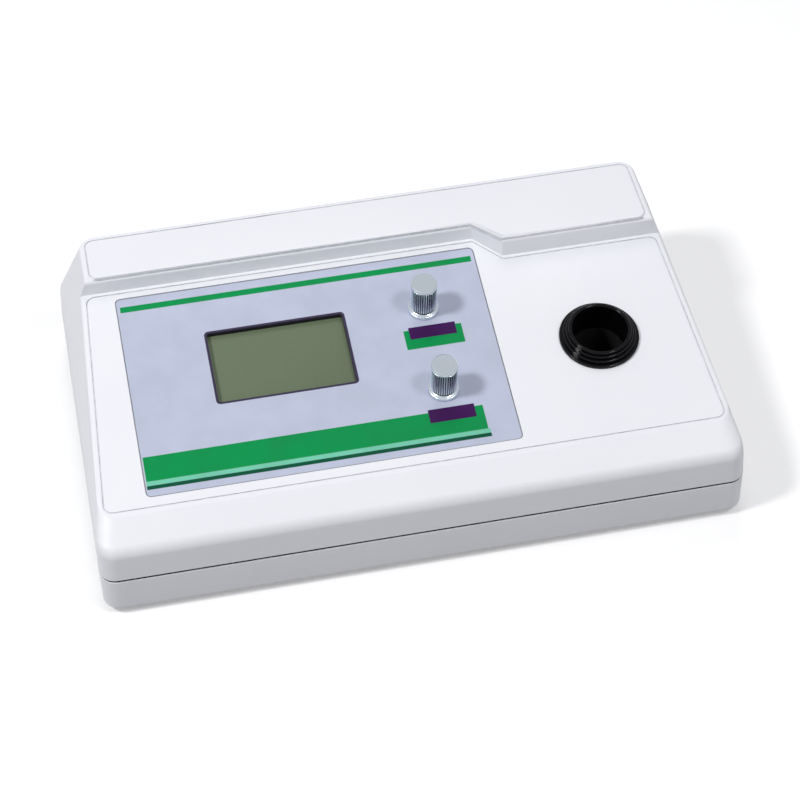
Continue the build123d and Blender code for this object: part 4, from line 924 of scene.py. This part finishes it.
def label_patches():
    """The printed plate: a thin slab with a softened upper edge, a window and two shaft holes."""
    low, high = -LABEL_RECESS, -LABEL_RECESS + LABEL_THICKNESS
    outside = [box_loop(*LABEL_SIZE, LABEL_X, LABEL_V, inset) for inset in (0.0, 0.12, 0.5)]
    window = box_loop(WINDOW_WIDTH, WINDOW_LENGTH, WINDOW_CORNER, WINDOW_X, WINDOW_V)
    inside = [window] + [ring_loop(SHAFT_HOLE, KNOB_X, v, 32) for v in KNOB_VS]
    heights = (high - 0.4, high - 0.12, high)
    rim = [slanted(loop, height) for loop, height in zip(outside, heights)]
    bottom = slanted(outside[0], low)
    patches = [(*sheet(np.stack([bottom] + rim), True), 1)]
    upper, lower = [slanted(loop, high) for loop in inside], [slanted(loop, low) for loop in inside]
    patches += [sheet(np.stack([a, b]), True) for a, b in zip(upper, lower)]
    patches += [filled(rim[-1], upper), filled(bottom, lower)]
    return patches


def knob_patches(v, radius, top, flutes, depth):
    """A fluted knob, closed below: reach = row's radius - depth * share * |sin(flutes * a / 2)| ** 0.8."""
    sides = flutes * 8
    angle = np.arange(sides) * 2 * math.pi / sides
    hollow = np.abs(np.sin(flutes * angle / 2)) ** 0.8
    neck = radius - KNOB_NECK
    room, room_top = KNOB_NUT_ROOM
    bore, bore_top = KNOB_BORE
    cap = [(0.0, top - 0.05), (3.0, top - 0.04), (radius - 1.1, top - 0.02), (radius - 0.9, top)]
    cap += [(radius - 0.8, top), (radius - 0.12, top - 0.6), (radius, top - 0.8), (radius, top - 1.35)]
    cap += [(radius - 0.08, top - 1.45), (neck, top - 1.6), (neck, top - 1.9)]
    grip = [(radius - 0.1, top - 2.05, 0.3), (radius, top - 2.3, 1), (radius, 12.0, 1)]
    grip += [(radius, 4.4, 1), (radius - 0.1, 3.8, 0.8), (neck, 3.4, 0.1)]
    skirt = [(neck, 3.1), (neck, 2.1), (neck + 0.2, 1.92), (KNOB_SKIRT - 0.65, 1.86)]
    skirt += [(KNOB_SKIRT - 0.25, 1.74), (KNOB_SKIRT - 0.05, 1.45), (KNOB_SKIRT, 1.2)]
    skirt += [(KNOB_SKIRT, 0.35), (KNOB_SKIRT - 0.15, 0.2)]
    inside = [(room, 0.2), (room, room_top), (bore, room_top), (bore, bore_top), (0.0, bore_top)]
    rows = [(*row, 0.0)[:3] for row in cap + grip + skirt + inside]
    reach, height, share = np.array(rows).T[:, :, None]
    return [stood(spun(reach - depth * share * hollow, height, sides), KNOB_X, v)]


def collar_patches():
    """The stepped collar: four rounded rings, each narrower, then the bore and the sleeve below."""
    def bend(*turn, steps):
        return [tuple(p) for p in arc(*(np.array(point) for point in turn), steps)]

    sleeve = WELL_HOLE - COLLAR_PLAY
    profile = [(sleeve, WELL_SLEEVE), (sleeve, 0.0)]
    low = 0.0
    for radius, high in COLLAR_STEPS:
        profile.append((radius, low))
        profile += bend((radius, high - COLLAR_EDGE), (radius, high), (radius - COLLAR_EDGE, high), steps=5)
        low = high
    profile += bend((WELL_BORE + COLLAR_LIP, low), (WELL_BORE, low), (WELL_BORE, low - COLLAR_LIP), steps=4)
    profile += [(WELL_BORE, 0.0), (WELL_BORE, WELL_SLEEVE), (sleeve, WELL_SLEEVE)]
    radius, height = np.array(profile).T[:, :, None]
    return [stood(spun(radius, height, 128), WELL_X, WELL_V)]


def length(name, description, default, low, high):
    """A size that a user may change: given here in millimetres and kept in metres."""
    return FloatProperty(
        name=name, description=description, default=default * MM, min=low * MM, max=high * MM,
        subtype="DISTANCE", precision=5,
    )


def tint(name, description, colour):
    """A colour that a user may change, given in 8-bit screen values."""
    return FloatVectorProperty(
        name=name, description=description, default=linear(*colour), min=0, max=1, subtype="COLOR",
    )


class MeterSizes(bpy.types.PropertyGroup):
    """Sizes that a user may change"""

    edge_radius: length("Edge radius", "Rounding of the platform's and panel's edges", 2.0, 0.5, 4.0)
    base_radius: length("Base edge radius", "Rounding of the tray's lower edge", 3.0, 0.5, 5.0)
    groove_width: length("Groove width", "Width of the line cut in the casing", 0.8, 0.3, 1.5)
    groove_depth: length("Groove depth", "Depth of the line cut in the casing", 0.6, 0.1, 1.0)
    knob_radius: length("Knob radius", "Radius over the knob's ridges", 7.1, 6.8, 7.1)
    knob_top: length("Knob height", "Height of the knob's top over the panel", 21.75, 20.0, 21.75)
    knob_flutes: IntProperty(
        name="Knob flutes", description="Number of ridges round each knob", default=36, min=12, max=60,
    )
    flute_depth: length("Flute depth", "Depth of the knob's grooves", 0.4, 0.1, 0.6)


class MeterColours(bpy.types.PropertyGroup):
    """Colours that a user may change"""

    casing: tint("Casing", "White of the moulded casing", (242, 243, 248))
    plate: tint("Plate", "Grey of the printed plate", (193, 199, 220))
    green: tint("Green", "Green of the printed stripes", (0, 148, 78))
    purple: tint("Purple", "Purple of the printed strips", (64, 20, 84))
    collar: tint("Collar", "Black of the well's collar", (7, 6, 9))
    metal: tint("Knob metal", "Colour of the turned knobs", (234, 243, 251))


MADE = {}


def shared(name, make):
    """A finish made once and found again by its name; the CAD's own materials aren't looked at."""
    if name not in MADE:
        MADE[name] = make()
    return MADE[name]


class METER_OT_casing(bpy.types.Operator):
    """Build the cover and the tray as smooth skins"""

    bl_idname = "meter.casing"
    bl_label = "Casing"

    def execute(self, context):
        sizes, colour = context.scene.meter_sizes, tuple(context.scene.meter_colours.casing)
        white = shared("casing_white", lambda: casing_finish(colour))
        # Painted shade: a darker grey in the groove, and near-black in the parting gap and on the cover's
        # cut edges.
        groove_shades = (dimmed(colour, 0.9), dimmed(colour, 0.78))
        line = shared("casing_groove_shade", lambda: painted_shade_finish("casing_groove_shade", *groove_shades, 240.0, 0.2))
        gap_shades = [linear(*shade) for shade in GAP_PAINTED_SHADES]
        joint = shared("casing_gap_shade", lambda: painted_shade_finish("casing_gap_shade", *gap_shades, 120.0, 0.1))
        lengths = (sizes.edge_radius, sizes.groove_width, sizes.groove_depth)
        cover = weld("cover", cover_patches(*(size / MM for size in lengths)))
        wall = cover.modifiers.new("wall", "SOLIDIFY")
        wall.thickness = COVER_WALL * MM
        wall.offset = -1.0
        # The wall's cut edges take the third finish, the gap's painted shade.
        wall.material_offset_rim = 2
        finish_piece(cover, "casing", white, "casing_white", "top_cover")
        cover.data.materials.append(line)
        cover.data.materials.append(joint)
        tray = weld("tray", base_patches(sizes.base_radius / MM))
        finish_piece(tray, "casing", white, "casing_white", "base_shell")
        tray.data.materials.append(joint)
        return {"FINISHED"}


class METER_OT_plate(bpy.types.Operator):
    """Build the printed plate"""

    bl_idname = "meter.plate"
    bl_label = "Printed plate"

    def execute(self, context):
        colours = context.scene.meter_colours
        inks = {name: tuple(getattr(colours, name)) for name in ("plate", "green", "purple")}
        inks |= {"dark_green": linear(*DARK_GREEN), "mint": linear(*MINT), "frame": linear(*WINDOW_FRAME)}
        plate = weld("plate", label_patches())
        finish_piece(plate, "casing", label_finish(inks), "label_print", "front_label")
        edge = plain_finish("label_edge", *(linear(*colour) for colour in PLATE_EDGE), 0.5)
        plate.data.materials.append(edge)
        return {"FINISHED"}


class METER_OT_knobs(bpy.types.Operator):
    """Build the two fluted knobs"""

    bl_idname = "meter.knobs"
    bl_label = "Knobs"

    def execute(self, context):
        sizes, colours = context.scene.meter_sizes, context.scene.meter_colours
        radius, top, depth = (size / MM for size in (sizes.knob_radius, sizes.knob_top, sizes.flute_depth))
        metal = shared("knob_metal", lambda: knob_finish(tuple(colours.metal), radius, top))
        for name, v in zip(("zero", "correction"), KNOB_VS):
            knob = weld(f"{name}_dial_knob", knob_patches(v, radius, top, sizes.knob_flutes, depth), 40.0)
            finish_piece(knob, f"{name}_dial", metal, "knob_metal", f"{name}_knob")
        return {"FINISHED"}


class METER_OT_collar(bpy.types.Operator):
    """Build the stepped collar of the sample well"""

    bl_idname = "meter.collar"
    bl_label = "Well collar"

    def execute(self, context):
        black = shared("collar_black", lambda: collar_finish(tuple(context.scene.meter_colours.collar)))
        finish_piece(weld("collar", collar_patches(), 50.0), "casing", black, "collar_black", "well_collar")
        return {"FINISHED"}


class METER_OT_finishes(bpy.types.Operator):
    """Give every part that is carried over its finish"""

    bl_idname = "meter.finishes"
    bl_label = "Part finishes"

    def execute(self, context):
        finishes = node_finishes()
        finishes["knob_metal"] = MADE["knob_metal"]
        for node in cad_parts.values():
            for number, slot in enumerate(node.material_slots):
                name = slot.material.name.split(".")[0] if slot.material else ""
                if name in finishes:
                    node.material_slots[number].material = finishes[name]
        return {"FINISHED"}


class METER_OT_stage(bpy.types.Operator):
    """Set the floor, the lamps and the camera"""

    bl_idname = "meter.stage"
    bl_label = "Stage"

    def execute(self, context):
        add_floor()
        for name, place, size, power in LAMPS:
            add_lamp(name, place, size, power)
        add_world()
        add_camera()
        context.scene.view_settings.view_transform = "Standard"
        return {"FINISHED"}


def add_floor():
    """A wide pale floor that the camera sees as white where no shadow falls."""
    side = np.linspace(-FLOOR_REACH, FLOOR_REACH, 9)
    x, y = np.meshgrid(side, side)
    points, faces = sheet(np.stack([x, y, np.full_like(x, FLOOR_BELOW)], -1))
    mesh = bpy.data.meshes.new("floor")
    mesh.from_pydata(points.tolist(), [], faces.tolist())
    floor = placed("floor", mesh)
    nodes = Nodes("floor_white")
    paths = nodes.add("LightPath").outputs
    mirrored = nodes.math("MAXIMUM", paths["Is Glossy Ray"], paths["Is Transmission Ray"])
    seen = nodes.math("MAXIMUM", paths["Is Camera Ray"], mirrored)
    pale = nodes.mix(nodes.noise(6.0, 3.0), (0.86, 0.86, 0.865), (0.88, 0.88, 0.88))
    ground = nodes.mix(seen, (FLOOR_BOUNCE,) * 3, pale)
    nodes.shade(Base_Color=ground, Roughness=0.9, Specular_IOR_Level=0.1)
    lift = nodes.math("MULTIPLY", seen, FLOOR_LIFT)
    nodes.shade(Emission_Color=(1.0, 1.0, 1.0), Emission_Strength=lift)
    floor.data.materials.append(nodes.material)


def add_lamp(name, place, size, power):
    """A round soft lamp aimed at the meter; the one overhead isn't mirrored in it."""
    lamp = bpy.data.lights.new(name, "AREA")
    lamp.shape = "DISK"
    lamp.size = size
    lamp.energy = power
    item = placed(name, lamp)
    item.location = place
    item.rotation_mode = "QUATERNION"
    item.rotation_quaternion = Vector(np.subtract(place, LAMP_AIM).tolist()).to_track_quat("Z", "Y")
    item.visible_glossy = name != "top"


def add_world():
    """Even pale light from all round; the camera and the glossy rays see white."""
    world = bpy.data.worlds.new("studio")
    world.use_nodes = True
    tree = world.node_tree
    background = tree.nodes["Background"]
    background.inputs["Color"].default_value = (0.96, 0.97, 1.0, 1.0)
    paths = tree.nodes.new("ShaderNodeLightPath")
    strength = None
    for way, high in (("Is Glossy Ray", WORLD_GLOSS), ("Is Transmission Ray", 1.0), ("Is Camera Ray", 1.0)):
        pick = tree.nodes.new("ShaderNodeMapRange")
        tree.links.new(paths.outputs[way], pick.inputs["Value"])
        pick.inputs["To Min"].default_value = WORLD_LIGHT
        pick.inputs["To Max"].default_value = high
        if strength:
            tree.links.new(strength, pick.inputs["To Min"])
        strength = pick.outputs[0]
    tree.links.new(strength, background.inputs["Strength"])
    bpy.context.scene.world = world


def add_camera():
    """The photograph's view: turned about the upright, tipped down, rolled, and faced along its own -z."""
    pitch, roll, turn = CAMERA_TURN
    place = Matrix.Translation(CAMERA_PLACE)
    for angle, axis in ((-turn, "Z"), (-pitch - math.pi / 2, "X"), (-roll, "Z"), (math.pi, "X")):
        place @= Matrix.Rotation(angle, 4, axis)
    camera = bpy.data.cameras.new("camera")
    camera.sensor_width = SENSOR
    camera.lens = FOCAL_PIXELS * SENSOR / FRAME_PIXELS
    item = placed("camera", camera)
    item.matrix_world = place
    bpy.context.scene.camera = item


class METER_PT_panel(bpy.types.Panel):
    """Lists the meter's sizes, colours and building steps"""

    bl_idname = "METER_PT_panel"
    bl_label = "Turbidity meter"
    bl_space_type = "VIEW_3D"
    bl_region_type = "UI"
    bl_category = "Meter"

    def draw(self, context):
        for group in (context.scene.meter_sizes, context.scene.meter_colours):
            for name in group.__annotations__:
                self.layout.prop(group, name)
        for step in STEPS:
            self.layout.operator(step.bl_idname)


STEPS = (
    METER_OT_casing, METER_OT_plate, METER_OT_knobs, METER_OT_collar, METER_OT_finishes, METER_OT_stage,
)
CLASSES = (MeterSizes, MeterColours, *STEPS, METER_PT_panel)


def register():
    """Register the classes and hang the sizes and colours on the scene."""
    for item in CLASSES:
        bpy.utils.register_class(item)
    bpy.types.Scene.meter_sizes = PointerProperty(type=MeterSizes)
    bpy.types.Scene.meter_colours = PointerProperty(type=MeterColours)


def unregister():
    """Undo what register did."""
    del bpy.types.Scene.meter_sizes
    del bpy.types.Scene.meter_colours
    for item in reversed(CLASSES):
        bpy.utils.unregister_class(item)


def main():
    """Register the add-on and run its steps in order."""
    register()
    bpy.ops.meter.casing()
    bpy.ops.meter.plate()
    bpy.ops.meter.knobs()
    bpy.ops.meter.collar()
    bpy.ops.meter.finishes()
    bpy.ops.meter.stage()


if __name__ == "__main__":
    main()
